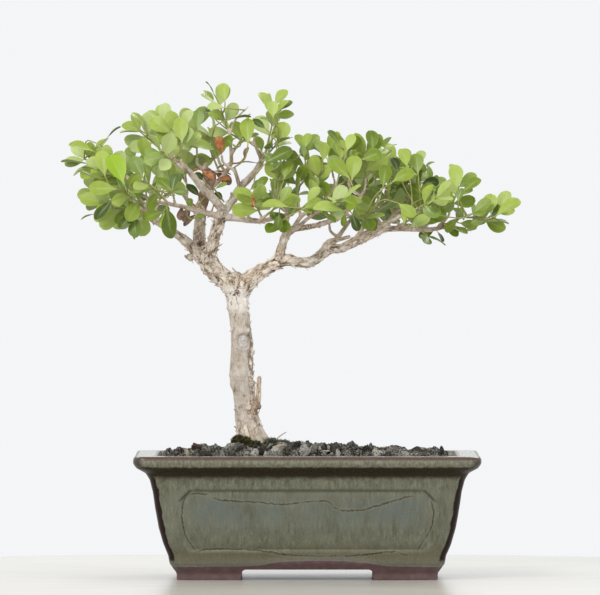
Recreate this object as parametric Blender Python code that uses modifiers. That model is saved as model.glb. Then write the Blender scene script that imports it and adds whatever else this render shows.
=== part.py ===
"""A Japanese boxwood bonsai in its glazed rectangular pot, at real size, in metres with +Z up.

The origin is on the surface that the pot stands on, under the middle of the whole object, and -Y is the
side that the tree is looked at from. Tables of places are in millimetres and are turned into metres where
they are used. The pot, the soil, two drain screens, the wood, three dry leaves and every leafy shoot are
separate objects, about 0.3 mm clear of each other where they meet.
"""

import math
import random

import bmesh
import bpy
import numpy as np
from mathutils import Matrix, Vector, noise
from mathutils.bvhtree import BVHTree

MM = 0.001
GAP = 0.3 * MM  # clearance between two pieces that meet
UP = Vector((0, 0, 1))

# Pot: outside sizes at the rim, and where its middle lies along X
POT_LENGTH = 250
POT_DEPTH = 185
POT_HEIGHT = 89
POT_X = 11.8
CORNER_RADIUS = 8
INNER_CORNER_RADIUS = 6
CORNER_STEPS = 3

# Outside of the pot from the feet up to the rim's flat top: inset from the rim's edge, and height
OUTER_PROFILE = [
    (31.1, 0), (31.1, 4.5), (28.2, 8.3), (25.9, 11.5), (25.0, 17), (21.4, 25.5), (17.9, 38),
    (15.6, 52), (13.9, 64), (11.8, 72), (8.8, 77), (2.4, 80.6), (0, 84), (0.2, 87.6), (1.6, 89),
]  # fmt: skip

# Inside of the pot from the rim's top down to the floor
FLOOR_TOP = 14.5
INNER_PROFILE = [
    (17.0, 89), (18.2, 88), (19.2, 74), (21.5, 52), (26.5, 30), (31.5, 18), (35.0, FLOOR_TOP),
]  # fmt: skip

# Underside: a hollow inside the ring of the feet, and a low arch through each side between two feet
FOOT_RING_WIDTH = 14
FOOT_HOLLOW_TOP = 8.0
ARCH_TOP = 7.2
ARCH_CORNER = 3.5
FOOT_LENGTH = 46.5
FOOT_DEPTH = 30
DRAIN_RADIUS = 8
DRAIN_X = 58
DRAIN_SIDES = 16
CUT_OVER = 3  # how far a cutter runs past what it cuts

# Sunk panels with cut corners, one in each side: how far in from the rim's edge they end, and their heights
PANEL_SINK = 1.3
PANEL_MARGIN = 34
PANEL_CUT = 7
PANEL_LEVELS = [20, 27, 38, 52, 58, 65]
PANEL_OVERHANG = 4  # how far a panel's cutter stands out of the wall

# Squares of plastic mesh over the drain holes
SCREEN_SIDE = 26
SCREEN_THICKNESS = 1.0
SCREEN_HOLES = 2
SCREEN_BAR = 3.0

# Soil: height at the wall, height of the mound, lumps, and the cells of its top
SOIL_EDGE = 84.5
SOIL_MOUND = 8.5
TRUNK_MOUND = 4.5
TRUNK_MOUND_REACH = 30
LUMP_SPACING = 11
LUMP_HEIGHT = 4.2
SOIL_CELLS = (22, 15)
SOIL_SEED = Vector((3.1, 7.7, 0.4))
ROUGH_SPACING = 5
ROUGH_HEIGHT = 2.0
ROOT_CLEARANCE = 0.45

# Wood: each limb's parent and sides, and its stations x, y, z and radius, from its root outwards
LIMBS = {
    "trunk": (10, 1, [
        (-27, 0, 62, 11.5), (-27, 0, 82, 12.6), (-27.6, 0, 92, 12.4), (-28.8, 0, 99, 10.8), (-30, 0, 106, 9.5),
        (-31.6, 0, 115, 8.5), (-33, 0.6, 128, 8.0), (-35.6, 1, 144, 8.7), (-35.6, 0.6, 156, 8.2),
        (-35.4, 0, 167, 8.0), (-36, -0.8, 178, 7.5), (-37.6, -0.6, 190, 7.5), (-38.8, 0, 201, 8.2),
        (-38.6, 0, 211, 7.4)]),
    "root_right": (6, 1, [(-29, 0, 114, 4.2), (-22, -1, 101, 5.0), (-15.5, -2, 90, 4.6), (-11, -3, 78, 3.0)]),
    "root_back": (6, 1, [(-30, 1, 113, 4.2), (-32, 8, 100, 4.8), (-36, 14, 88, 3.8), (-39, 18, 78, 2.6)]),
    "stub": (4, 1, [
        (-31, -3, 118, 1.6), (-24.5, -5, 122, 1.5), (-22.8, -5.5, 129, 1.3), (-22.6, -5.5, 145, 1.0)]),
    "left_fork": (8, 1, [
        (-38.4, 0, 204, 8.0), (-45.6, 0, 212.6, 7.2), (-52.4, -0.6, 219.8, 6.9), (-59.6, -0.6, 226.4, 6.8),
        (-63.7, 0, 233, 6.0)]),
    "low_left": (6, 1, [
        (-61, 0, 229, 4.6), (-70.2, 0, 237.2, 4.2), (-77.4, 1, 243.7, 3.3), (-86, 3, 249.5, 2.9),
        (-96.2, 5, 256, 2.4), (-104, 6, 260, 1.9), (-112, 7, 264, 1.5)]),
    "rear_stem": (6, 1, [
        (-62.5, 1, 228, 5.4), (-66.4, 5, 240, 4.7), (-66, 9, 252, 4.4), (-65.1, 13, 262, 4.0),
        (-63.7, 17, 272, 3.7), (-61.5, 21, 281, 3.3), (-61, 24, 290, 2.6), (-62.4, 26, 299, 1.9)]),
    "front_stem": (6, 1, [
        (-60.5, -1, 229, 5.2), (-56.8, -4, 239, 4.5), (-55, -6, 246.4, 4.3), (-52.8, -8, 253.4, 4.4),
        (-49.6, -9, 261, 4.4)]),
    "crown_left": (6, 1, [
        (-50.4, -9, 259.6, 3.6), (-50.6, -12, 267.4, 3.1), (-56.8, -16, 274.2, 2.8), (-64.2, -20, 281.4, 2.6),
        (-69.6, -24, 288.6, 2.3), (-75.2, -29, 295.2, 1.9), (-79, -33, 299, 1.5)]),
    "mid_left": (4, 1, [
        (-50.6, -9, 260.6, 2.7), (-60, -12, 262.7, 2.1), (-68.4, -17, 265, 1.9), (-78, -24, 267.6, 1.7),
        (-86, -31, 269.2, 1.5), (-95, -37, 271, 1.3), (-103, -42, 274, 1.1)]),
    "mid_right": (4, 1, [
        (-50, -9, 260.4, 3.0), (-38.3, -13, 259, 2.4), (-28.9, -18, 257.6, 2.1), (-20.2, -24, 257.4, 1.9),
        (-10.8, -30, 259.8, 1.6), (-3, -34, 262, 1.3)]),
    "crown_right": (6, 1, [
        (-50, -9, 261.4, 3.2), (-42.4, -5, 271.6, 2.9), (-36.8, -1, 281.2, 2.8), (-30.8, 3, 287.2, 2.5),
        (-25.2, 8, 293.8, 2.3), (-21.4, 12, 300.6, 2.0), (-23.2, 14, 307, 1.6)]),
    "crown_inner": (4, 1, [(-36.9, -1, 281.2, 1.7), (-39, -6, 289, 1.5), (-41.2, -11, 295.6, 1.3)]),
    "dead_tip": (4, 1, [(-23.2, 14, 306, 1.5), (-25.9, 13, 313.6, 1.3), (-26.4, 12, 320, 1.1)]),
    "rear_twig": (4, 1, [
        (-61.6, 20, 279, 2.2), (-53, 18, 285.4, 1.8), (-47.2, 14, 292, 1.6), (-42.8, 10, 299.4, 1.5)]),
    "leader": (4, 1, [(-43, 10, 298.6, 1.5), (-43.4, 8, 309, 1.3), (-44.8, 5, 319, 1.2)]),
    "dead_twig": (4, 1, [(-44.6, 5.4, 317, 1.0), (-40.6, 3, 329.6, 0.8), (-30.6, 2, 340, 0.6)]),
    "right_fork": (8, 1, [
        (-38.8, 0, 203.6, 8.0), (-31.8, 0, 212.6, 7.0), (-24.6, -1, 218.6, 5.9), (-16.6, -2, 223.4, 5.1),
        (-8.7, -2, 227, 4.6), (-2.2, -1, 229, 4.7), (5.1, 0, 227.4, 3.9), (12.3, 2, 227, 3.9),
        (18.8, 3, 230, 4.1), (25, 3, 235.6, 4.2)]),
    "right_reach": (6, 1, [
        (24, 3, 234.6, 3.9), (30.6, 4, 237.2, 3.5), (39.2, 5, 238, 3.1), (48.6, 6, 242.2, 3.0),
        (60, 6, 247.8, 2.8), (70.2, 5, 251.6, 2.4), (86, 4, 251.4, 2.0), (99, 3, 251, 1.8),
        (108, 2, 252, 1.5), (116, 1, 254, 1.2)]),
    "riser": (6, 1, [
        (-9, -2, 227.6, 4.0), (-6.2, -6, 240.6, 3.3), (-3.6, -8, 247, 3.1), (1, -12, 251, 2.7),
        (9, -17, 252.6, 2.3), (18, -22, 254, 2.0), (27, -26, 256.8, 1.8), (34, -28, 258.6, 1.5)]),
    "riser_end": (4, 1, [
        (33, -28, 258.4, 1.5), (42, -26, 265.4, 1.4), (49, -22, 272.6, 1.3), (53, -18, 279, 1.1)]),
    "riser_up": (4, 1, [
        (-4, -8, 246, 2.3), (-3.4, -8, 256, 1.9), (-0.8, -4, 264.4, 1.7), (3.4, 1, 273, 1.5), (6, 6, 282, 1.2)]),
    "riser_mid": (4, 1, [
        (1, -12, 250.6, 1.9), (7, -11, 260, 1.6), (14, -8, 265, 1.4), (23, -3, 270, 1.3), (29, 2, 280, 1.1)]),
    "spur": (4, 1, [(24, 3, 236, 3.0), (28.4, 0, 242, 2.4), (35.5, -6, 244, 1.6), (42.6, -12, 246, 1.3)]),
    "end_riser": (4, 1, [(68, 5, 252, 1.8), (73.6, 8, 260.6, 1.5), (78, 12, 267.4, 1.3), (81, 15, 273, 1.1)]),
    "back_riser": (4, 1, [
        (46, 6, 242.6, 1.9), (53, 14, 253.6, 1.6), (58.4, 21, 267.6, 1.4), (60, 24, 278, 1.1)]),
    "tip_riser": (4, 1, [(107, 2, 253.6, 1.3), (112, 3, 258, 1.1)]),
    "back_left": (4, 1, [(-65.4, 12, 259, 2.6), (-72, 30, 268, 1.9), (-78, 44, 276, 1.6), (-82, 54, 282, 1.3)]),
    "back_crown": (4, 1, [(-62, 20, 279, 2.2), (-54, 34, 285, 1.6), (-48, 46, 290, 1.3)]),
    "rear_low": (4, 1, [
        (-67, -1, 234.4, 3.0), (-82, 14, 246, 2.2), (-94, 27, 256, 1.8), (-102, 36, 263, 1.4)]),
    "front_left": (4, 1, [
        (-85, 3, 249, 2.0), (-92, -16, 256, 1.7), (-99, -32, 261, 1.4), (-104, -42, 264, 1.2)]),
    "back_right": (4, 1, [
        (24, 4, 235, 2.8), (28, 18, 238, 2.2), (34, 33, 245, 1.8), (41, 46, 254.5, 1.5), (46, 55, 261, 1.2)]),
    "back_far": (4, 1, [(38, 5, 239, 2.2), (50, 23, 246, 1.8), (63, 39, 253, 1.5), (74, 50, 259, 1.2)]),
    "front_right": (4, 1, [(-4, -8, 246.4, 2.2), (4, -28, 252, 1.7), (12, -43, 259, 1.4), (19, -52, 264, 1.2)]),
    "front_far": (4, 1, [(59, 6, 248.4, 2.0), (67, -12, 254, 1.6), (76, -27, 259, 1.3), (84, -37, 263, 1.1)]),
}  # fmt: skip
ROOTS = ("trunk", "root_right", "root_back")

# The scar of a cut branch on the front of the trunk, and a swelling low on its left side
SCARS = [((-34.2, -7.6, 169), (4.6, 1.6, 5.2)), ((-42.6, -1.0, 146), (2.6, 3.4, 3.4))]

# Leafy shoots: the limb each grows from, its foot, its tip, and how many pairs of leaves it carries
SPRAYS = [
    ("low_left", (-130, 4, 293.5), (-149.5, 2, 302), 3),
    ("mid_left", (-117, -40, 282), (-131, -45, 297), 3),
    ("crown_left", (-95, -26, 310), (-109, -28, 322), 3),
    ("crown_left", (-86, -14, 307), (-93, -12, 329), 3),
    ("crown_left", (-79, -42, 302), (-80, -48, 323), 3),
    ("rear_stem", (-68, 27, 303), (-69, 25, 325), 3),
    ("leader", (-46, 4, 324), (-51.5, 2, 341), 2),
    ("leader", (-41, 0, 308), (-35, -9, 318), 2),
    ("crown_right", (-17, 15, 312), (-12, 14, 334), 3),
    ("crown_right", (-20, 6, 302), (-9, -2, 314), 3),
    ("low_left", (-122, 10, 271), (-140, 14, 278), 3),
    ("front_left", (-112, -40, 266), (-128, -46, 267), 3),
    ("low_left", (-106, 0, 267), (-113, -4, 259.5), 2),
    ("mid_left", (-92, -46, 274), (-102, -58, 284), 3),
    ("mid_left", (-84, -36, 273), (-87, -42, 288), 2),
    ("mid_left", (-89, -39.5, 268), (-92, -44, 264), 1),
    ("rear_low", (-107, 34, 284), (-117, 36, 298), 3),
    ("crown_left", (-83, -52, 299), (-94, -64, 307), 3),
    ("rear_twig", (-53, 8, 304), (-57, 0, 318), 2),
    ("rear_low", (-110, 44, 267), (-123, 54, 273), 3),
    ("back_left", (-87, 60, 287), (-97, 69, 297), 3),
    ("back_left", (-76, 44, 285), (-79, 47, 304), 3),
    ("back_crown", (-54, 50, 297), (-60, 58, 311), 3),
    ("front_left", (-106, -48, 269), (-117, -59, 276), 3),
    ("mid_right", (-22, -28, 262), (-26, -37, 271), 3),
    ("mid_right", (-17, -34, 262), (-7, -44, 270), 3),
    ("riser_up", (-11, -8, 281), (-7, -14, 299), 3),
    ("mid_right", (3, -38, 264), (12, -48, 269), 2),
    ("riser_up", (10, 8, 291), (11, 6, 308), 3),
    ("riser_mid", (31, 3, 288), (27, 0, 307), 3),
    ("riser_end", (42, -20, 288), (41, -27, 308), 3),
    ("riser_end", (54, -18, 288), (54, -24, 306), 3),
    ("back_riser", (61, 26, 287), (64, 28, 308), 3),
    ("back_riser", (69, 14, 280), (75, 9, 297), 3),
    ("end_riser", (82, 14, 280), (87, 9, 299), 3),
    ("end_riser", (87, 21, 273), (98, 25, 284), 3),
    ("right_reach", (97, -8, 262), (107, -17, 273), 3),
    ("tip_riser", (115, 3, 264), (121.5, 1, 282), 3),
    ("right_reach", (136, 0, 255), (149, -3, 264), 3),
    ("right_reach", (119, -9, 258), (132, -20, 263), 2),
    ("right_reach", (96, -6, 249), (99, -14, 246), 1),
    ("riser", (30, -34, 262), (24, -44, 269), 2),
    ("riser", (43, -30, 261), (53, -38, 259), 2),
    ("right_reach", (84, -8, 257), (94, -20, 263), 2),
    ("mid_right", (-11, -35, 257.5), (-10, -43, 255), 1),
    ("riser_mid", (17, -10, 273), (20, -17, 289), 3),
    ("front_right", (26, -59, 268), (38, -69, 273), 3),
    ("back_right", (55, 62, 266), (69, 71, 272), 3),
    ("back_right", (28, 41, 254), (25, 50, 270), 3),
    ("back_far", (82, 55, 263), (95, 63, 270), 3),
    ("front_far", (92, -43, 267), (105, -51, 274), 3),
]

# Dry leaves: the limb each hangs on, its foot and its tip
DRY_LEAVES = [
    ("crown_inner", (-50, -10, 305), (-53, -13, 318)),
    ("rear_stem", (-55, 4, 287), (-45, -4, 288)),
    ("mid_right", (-30, -22, 263), (-27, -26, 274)),
]

# Shoots and leaves
TWIG_RADII = (1.3, 1.0)
TWIG_LEAD = 12  # how far behind its shoot a twig looks for its limb
TWIG_KINK = 0.4  # share of a twig that runs straight in line with its shoot
STEM_RADII = (0.95, 0.6)
FIRST_PAIR, LAST_PAIR = 0.30, 0.97  # where along the stem the pairs of leaves stand
MOST_PAIRS = 3
LEAF_LENGTH = 17.6
LEAF_THICKNESS = 0.7
LEAF_SINK = 0.2  # how far a leaf's foot reaches past the middle of its stem
# Half of the leaf's outline: share of its length from the foot, half width and rise as shares of its length
LEAF_OUTLINE = [(0.30, 0.185, 0.015), (0.66, 0.30, 0.05), (0.97, 0.14, -0.02)]
# The outline's corners: 0 the foot, 1 to 3 the right edge up to the blunt tip, 4 to 6 the left edge back down
LEAF_FACES = [(0, 1, 6), (1, 3, 6), (3, 4, 6), (1, 2, 3), (4, 5, 6)]
BLADE_START = 0.2  # two leaves of one shoot may cross only below this share of their length
TURNS = (8, 62)  # how far the pairs turn round the stem, by turns, in degrees
LEANS = (34, 56)  # how far the last pair and the others lean off the stem, in degrees
LEAF_TRIES = 14
LEAF_CLEARANCE = 0.55
BRANCH_CLEARANCE = 1.1
SEED = 11
PAD_CENTRES = (Vector((-84, 4, 272)), Vector((46, 4, 256)))
PAD_BORDER_X = -30
BACK_STARTS_Y = 25  # leaves beyond this turn to the back

SURFACES = {
    "glaze": ((0.145, 0.165, 0.115), 0.28),
    "soil": ((0.035, 0.030, 0.026), 0.95),
    "bark": ((0.40, 0.32, 0.24), 0.85),
    "leaf": ((0.23, 0.37, 0.07), 0.42),
    "dry": ((0.50, 0.16, 0.04), 0.6),
    "mesh": ((0.03, 0.03, 0.03), 0.5),
}


def start_scene():
    """An empty scene with one collection for the bonsai."""
    for obj in list(bpy.data.objects):
        bpy.data.objects.remove(obj)
    collection = bpy.data.collections.new("bonsai")
    bpy.context.scene.collection.children.link(collection)
    return collection


def material(name):
    found = bpy.data.materials.get(name)
    if found:
        return found
    colour, roughness = SURFACES[name]
    made = bpy.data.materials.new(name)
    made.use_nodes = True
    shader = made.node_tree.nodes["Principled BSDF"]
    shader.inputs["Base Color"].default_value = (*colour, 1)
    shader.inputs["Roughness"].default_value = roughness
    shader.inputs["Metallic"].default_value = 0
    return made


def mesh_object(name, mesh, collection, surface=None):
    obj = bpy.data.objects.new(name, mesh)
    collection.objects.link(obj)
    if surface:
        mesh.materials.clear()
        mesh.materials.append(material(surface))
    return obj


def evaluated_mesh(obj):
    """A new mesh of the object as its modifiers leave it."""
    bpy.context.view_layer.update()
    graph = bpy.context.evaluated_depsgraph_get()
    return bpy.data.meshes.new_from_object(obj.evaluated_get(graph))


def apply_modifiers(obj):
    mesh = evaluated_mesh(obj)
    obj.modifiers.clear()
    obj.data = mesh
    return obj


def combine(obj, operation, others, solver="EXACT"):
    """Joins the others to obj, or cuts them from it, in one Boolean, and removes them."""
    helpers = bpy.data.collections.new("helpers")
    bpy.context.scene.collection.children.link(helpers)
    for other in others:
        for owner in list(other.users_collection):
            owner.objects.unlink(other)
        helpers.objects.link(other)
    modifier = obj.modifiers.new(operation.lower(), "BOOLEAN")
    modifier.operation = operation
    modifier.operand_type = "COLLECTION"
    modifier.collection = helpers
    modifier.solver = solver
    apply_modifiers(obj)
    for other in others:
        bpy.data.objects.remove(other)
    bpy.data.collections.remove(helpers)
    return obj


def smooth_shade(obj, angle):
    obj.data.shade_smooth()
    obj.data.set_sharp_from_angle(angle=math.radians(angle))
    return obj


# Lofted shapes: the pot's walls, its panels and the soil's sides


def rounded_rectangle(inset, z, radius):
    """A ring of points around the pot at an inset from the rim's edge, at height z."""
    half_x, half_y = POT_LENGTH / 2 - inset, POT_DEPTH / 2 - inset
    ring = []
    for quarter, (side_x, side_y) in enumerate([(1, 1), (-1, 1), (-1, -1), (1, -1)]):
        centre_x, centre_y = side_x * (half_x - radius), side_y * (half_y - radius)
        for step in range(CORNER_STEPS + 1):
            angle = math.radians(90 * (quarter + step / CORNER_STEPS))
            x = POT_X + centre_x + radius * math.cos(angle)
            ring.append(Vector((x, centre_y + radius * math.sin(angle), z)) * MM)
    return ring


def loft(name, rings, collection, surface=None):
    """A closed solid through rings that all have as many points, with its two ends filled."""
    work = bmesh.new()
    loops = [[work.verts.new(point) for point in ring] for ring in rings]
    for lower, upper in zip(loops, loops[1:]):
        for i, corner in enumerate(lower):
            j = (i + 1) % len(lower)
            work.faces.new((corner, lower[j], upper[j], upper[i]))
    work.faces.new(reversed(loops[0]))
    work.faces.new(loops[-1])
    bmesh.ops.recalc_face_normals(work, faces=work.faces)
    mesh = bpy.data.meshes.new(name)
    work.to_mesh(mesh)
    work.free()
    return mesh_object(name, mesh, collection, surface)


def inset_at(z):
    """Inset of the pot's outside at height z, straight between the points of its profile."""
    heights = [height for _, height in OUTER_PROFILE]
    insets = [inset for inset, _ in OUTER_PROFILE]
    return float(np.interp(z, heights, insets))


def block(name, low, high, collection):
    """A box between two corners, in millimetres."""
    low, high = Vector(low), Vector(high)
    work = bmesh.new()
    bmesh.ops.create_cube(work, size=1)
    size = Matrix.Diagonal((*((high - low) * MM), 1))
    bmesh.ops.transform(work, matrix=Matrix.Translation((low + high) / 2 * MM) @ size, verts=work.verts)
    mesh = bpy.data.meshes.new(name)
    work.to_mesh(mesh)
    work.free()
    return mesh_object(name, mesh, collection)


# Pot


def panel_cutter(side, collection):
    """What is cut away for the sunk panel of one side. Sides 0 and 2 are the long ones, 1 and 3 the short."""
    half_length, half_depth = POT_LENGTH / 2, POT_DEPTH / 2
    if side % 2:
        half_length, half_depth = half_depth, half_length
    place = Matrix.Translation((POT_X * MM, 0, 0)) @ Matrix.Rotation(math.radians(90 * side), 4, "Z")
    rings = []
    for z in PANEL_LEVELS:
        from_end = min(z - PANEL_LEVELS[0], PANEL_LEVELS[-1] - z)
        half_width = half_length - PANEL_MARGIN - max(0, PANEL_CUT - from_end)
        wall = half_depth - inset_at(z)
        inner, outer = wall - PANEL_SINK, wall + PANEL_OVERHANG
        corners = [(-half_width, -outer), (half_width, -outer), (half_width, -inner), (-half_width, -inner)]
        rings.append([place @ (Vector((x, y, z)) * MM) for x, y in corners])
    return loft(f"panel_{side}", rings, collection)


def arch_cutter(half_width, reach, across, collection):
    """The low arch between two feet, run right through the pot along Y, or along X if across."""
    curve = bpy.data.curves.new("arch", "CURVE")
    curve.dimensions = "2D"
    curve.fill_mode = "BOTH"
    curve.extrude = reach * MM
    outline = [(-half_width, -1), (half_width, -1), (half_width, ARCH_TOP - ARCH_CORNER)]
    for step in (1, 2, 3):
        angle = math.radians(30 * step)
        rise = ARCH_TOP - ARCH_CORNER + ARCH_CORNER * math.sin(angle)
        outline.append((half_width - ARCH_CORNER + ARCH_CORNER * math.cos(angle), rise))
    outline += [(-x, z) for x, z in reversed(outline[2:])]
    spline = curve.splines.new("POLY")
    spline.points.add(len(outline) - 1)
    for point, (x, z) in zip(spline.points, outline):
        point.co = (x * MM, z * MM, 0, 1)
    spline.use_cyclic_u = True
    guide = bpy.data.objects.new("arch", curve)
    guide.location.x = POT_X * MM
    guide.rotation_euler = (math.radians(90), 0, math.radians(90) if across else 0)
    return curve_to_mesh(guide, collection)


def curve_to_mesh(guide, collection):
    """The mesh object that stands for a curve, with its caps welded on and the curve removed."""
    collection.objects.link(guide)
    mesh = evaluated_mesh(guide)
    work = bmesh.new()
    work.from_mesh(mesh)
    bmesh.ops.remove_doubles(work, verts=work.verts, dist=0.01 * MM)
    bmesh.ops.transform(work, matrix=guide.matrix_world, verts=work.verts)
    bmesh.ops.recalc_face_normals(work, faces=work.faces)
    work.to_mesh(mesh)
    work.free()
    name = guide.name
    bpy.data.objects.remove(guide)
    return mesh_object(name, mesh, collection)


def cylinder(name, x, radius, low, high, collection):
    work = bmesh.new()
    bmesh.ops.create_cone(
        work,
        cap_ends=True,
        segments=DRAIN_SIDES,
        radius1=radius * MM,
        radius2=radius * MM,
        depth=(high - low) * MM,
        matrix=Matrix.Translation(Vector((x, 0, (low + high) / 2)) * MM),
    )
    mesh = bpy.data.meshes.new(name)
    work.to_mesh(mesh)
    work.free()
    return mesh_object(name, mesh, collection)


def foot_cutters(collection):
    """The hollow inside the ring of the feet, and the two arches that part the ring into four feet."""
    inset = OUTER_PROFILE[0][0]
    rings = [
        rounded_rectangle(inset + FOOT_RING_WIDTH, z, INNER_CORNER_RADIUS) for z in (-1, FOOT_HOLLOW_TOP)
    ]
    return [
        loft("hollow", rings, collection),
        arch_cutter(POT_LENGTH / 2 - inset - FOOT_LENGTH, POT_DEPTH / 2, False, collection),
        arch_cutter(POT_DEPTH / 2 - inset - FOOT_DEPTH, POT_LENGTH / 2, True, collection),
    ]


def build_pot(collection):
    """One fired piece: flared walls with a heavy lip, sunk panels, corner feet and two drain holes."""
    rings = [rounded_rectangle(inset, z, CORNER_RADIUS) for inset, z in OUTER_PROFILE]
    rings += [rounded_rectangle(inset, z, INNER_CORNER_RADIUS) for inset, z in INNER_PROFILE]
    pot = loft("pot", rings, collection, "glaze")
    for cutter in foot_cutters(collection):
        combine(pot, "DIFFERENCE", [cutter])
    low, high = FOOT_HOLLOW_TOP - CUT_OVER, FLOOR_TOP + CUT_OVER
    drains = [cylinder("drain", POT_X + x, DRAIN_RADIUS, low, high, collection) for x in (-DRAIN_X, DRAIN_X)]
    combine(pot, "DIFFERENCE", drains + [panel_cutter(side, collection) for side in range(4)])
    return smooth_shade(pot, 38)


def build_screen(name, x, collection):
    """A square of plastic mesh that keeps the soil in over one drain hole."""
    half = SCREEN_SIDE / 2
    low = FLOOR_TOP + GAP / MM
    high = low + SCREEN_THICKNESS
    screen = block(name, (x - half, -half, low), (x + half, half, high), collection)
    screen.data.materials.append(material("mesh"))
    pitch = (SCREEN_SIDE - SCREEN_BAR) / SCREEN_HOLES
    side = pitch - SCREEN_BAR
    holes = []
    for column in range(SCREEN_HOLES):
        for row in range(SCREEN_HOLES):
            corner_x = x - half + SCREEN_BAR + column * pitch
            corner_y = -half + SCREEN_BAR + row * pitch
            corner = (corner_x, corner_y, low - CUT_OVER)
            holes.append(block("hole", corner, (corner_x + side, corner_y + side, high + CUT_OVER), collection))
    return combine(screen, "DIFFERENCE", holes)


# Layout of the tree: every twig, stem and leaf is placed by rule before anything is made


def curve_through(stations, steps):
    """Points (x, y, z, radius) of a smooth curve through the stations, with steps to each span."""
    line = [np.array(station, float) for station in stations]
    line = [2 * line[0] - line[1], *line, 2 * line[-1] - line[-2]]
    points = []
    for a, b, c, d in zip(line, line[1:], line[2:], line[3:]):
        for t in np.arange(steps) / steps:
            bend = (2 * a - 5 * b + 4 * c - d) * t**2 + (3 * b - a - 3 * c + d) * t**3
            points.append(b + 0.5 * ((c - a) * t + bend))
    return [*points, line[-2]]


def twig_stations(limb, foot, direction):
    """The brown twig that carries a shoot: from the nearest place on its limb, behind the foot."""
    target = foot - direction * TWIG_LEAD
    line = curve_through(LIMBS[limb][2], 3)
    start = min(line, key=lambda p: (Vector(p[:3]) - target).length)
    root = Vector(start[:3])
    reach = (foot - root).length
    middle = foot - direction * reach * TWIG_KINK
    first, last = TWIG_RADII
    first = min(first, 0.8 * start[3])
    last = min(last, first)
    return [(*root, first), (*middle, (first + last) / 2), (*foot, last)]


def facing(place):
    """Which way leaves turn: up, towards the nearer side of the tree, and off their pad's middle."""
    centre = PAD_CENTRES[0] if place.x < PAD_BORDER_X else PAD_CENTRES[1]
    outward = (place - centre).normalized()
    side = -0.8 if place.y < BACK_STARTS_Y else 0.8
    return UP * 0.62 + outward * 0.35 + Vector((0, side, 0))


def square_to(vector, axis):
    """The part of a vector that stands square to an axis, as a unit vector."""
    rest = vector - axis * vector.dot(axis)
    return rest.normalized() if rest.length > 1e-6 else axis.orthogonal().normalized()


class Leaf:
    """One leaf: its foot on the stem, the way it points, the way its upper face looks, and its length."""

    def __init__(self, foot, direction, normal, length):
        self.foot, self.length = foot, length
        self.along = direction.normalized()
        self.normal = square_to(normal, self.along)
        self.across = self.along.cross(self.normal)

    def point(self, t, side, rise=0.0):
        """A place on the leaf, all three as shares of its length."""
        return self.foot + (self.along * t + self.across * side + self.normal * rise) * self.length

    def surface(self, start=0.0):
        """Its outline, from the foot round by the tip, folded a little along the rib."""
        right = [self.point(t, half, rise) for t, half, rise in LEAF_OUTLINE]
        left = [self.point(t, -half, rise) for t, half, rise in reversed(LEAF_OUTLINE)]
        return [self.point(start, 0), *right, *left]

    def slab(self, half_thickness, start=0.0):
        """A search tree of its outline made into a slab, to test whether two leaves cross."""
        outline = self.surface(start)
        shift = self.normal * half_thickness
        grown = [p + (p - self.point(0.6, 0)).normalized() * half_thickness for p in outline]
        corners = [p + shift for p in grown] + [p - shift for p in grown]
        count = len(outline)
        faces = [f for a, b, c in LEAF_FACES for f in ((a, b, c), (c + count, b + count, a + count))]
        faces += [(i, i + count, (i + 1) % count + count, (i + 1) % count) for i in range(count)]
        return BVHTree.FromPolygons(corners, faces)

    def samples(self):
        """Points spread over the blade, as an array, to measure how far branches are."""
        rows = [(t, s * half) for t, half, _ in LEAF_OUTLINE for s in (-1, -0.5, 0, 0.5, 1)]
        rows += [(t, s * half) for t, half in ((0.47, 0.25), (0.80, 0.23)) for s in (-1, -0.5, 0, 0.5, 1)]
        return np.array([self.point(t, side) for t, side in rows])


WOOD = -1  # the owner of every length of wood; a shoot owns its stem under its own number


class Branches:
    """Every length of wood and stem as a rounded stick, to keep the leaves off them."""

    def __init__(self):
        self.rows, self.owners = [], []

    def add(self, stations, owner):
        for a, b in zip(stations, stations[1:]):
            self.rows.append([*a[:3], *b[:3], max(a[3], b[3])])
            self.owners.append(owner)

    def freeze(self):
        self.table = np.array(self.rows, float)
        self.owner_ids = np.array(self.owners)

    def clear_of(self, points, owner, gap):
        """True if all points are farther than gap from every stick that isn't the owner's."""
        table = self.table[self.owner_ids != owner]
        start, end, radius = table[:, :3], table[:, 3:6], table[:, 6]
        span = end - start
        offset = points[:, None, :] - start[None]
        share = np.clip((offset * span).sum(-1) / (span**2).sum(-1), 0, 1)
        distance = np.linalg.norm(offset - share[..., None] * span, axis=-1) - radius
        return bool((distance > gap).all())


def stem_stations(foot, tip):
    """The green stem, which starts a hair beyond the end of its twig."""
    start = foot + (tip - foot).normalized() * GAP / MM
    first, last = STEM_RADII
    return [(*start, first), (*tip, last)]


def leaf_options(stations, pair, pairs, side, chance):
    """The places that one leaf may take on its stem, the likeliest first."""
    last = pair == pairs - 1
    t = LAST_PAIR if last else FIRST_PAIR + (LAST_PAIR - FIRST_PAIR) * pair / (pairs - 1)
    start, tip = (Vector(station[:3]) for station in stations)
    foot, stem = start.lerp(tip, t), (tip - start).normalized()
    face = square_to(facing(foot), stem)
    beside = stem.cross(face)
    usual_length = LEAF_LENGTH * (0.92 if last else 1.04) * chance.uniform(0.86, 1.14)
    for attempt in range(LEAF_TRIES):
        spread = 6 + 3.5 * attempt
        turn = math.radians(TURNS[(pairs - 1 - pair) % 2] + chance.uniform(-spread, spread))
        lean = math.radians(LEANS[0 if last else 1] + 0.7 * chance.uniform(-spread, spread))
        radial = (beside * math.cos(turn) + face * math.sin(turn)) * side
        direction = stem * math.cos(lean) + radial * math.sin(lean)
        normal = face * 0.85 + stem * 0.35 + beside * chance.uniform(-0.6, 0.6)
        length = usual_length * (1 - 0.018 * attempt)
        yield Leaf(foot - direction * LEAF_SINK, direction, normal, length)


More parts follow.
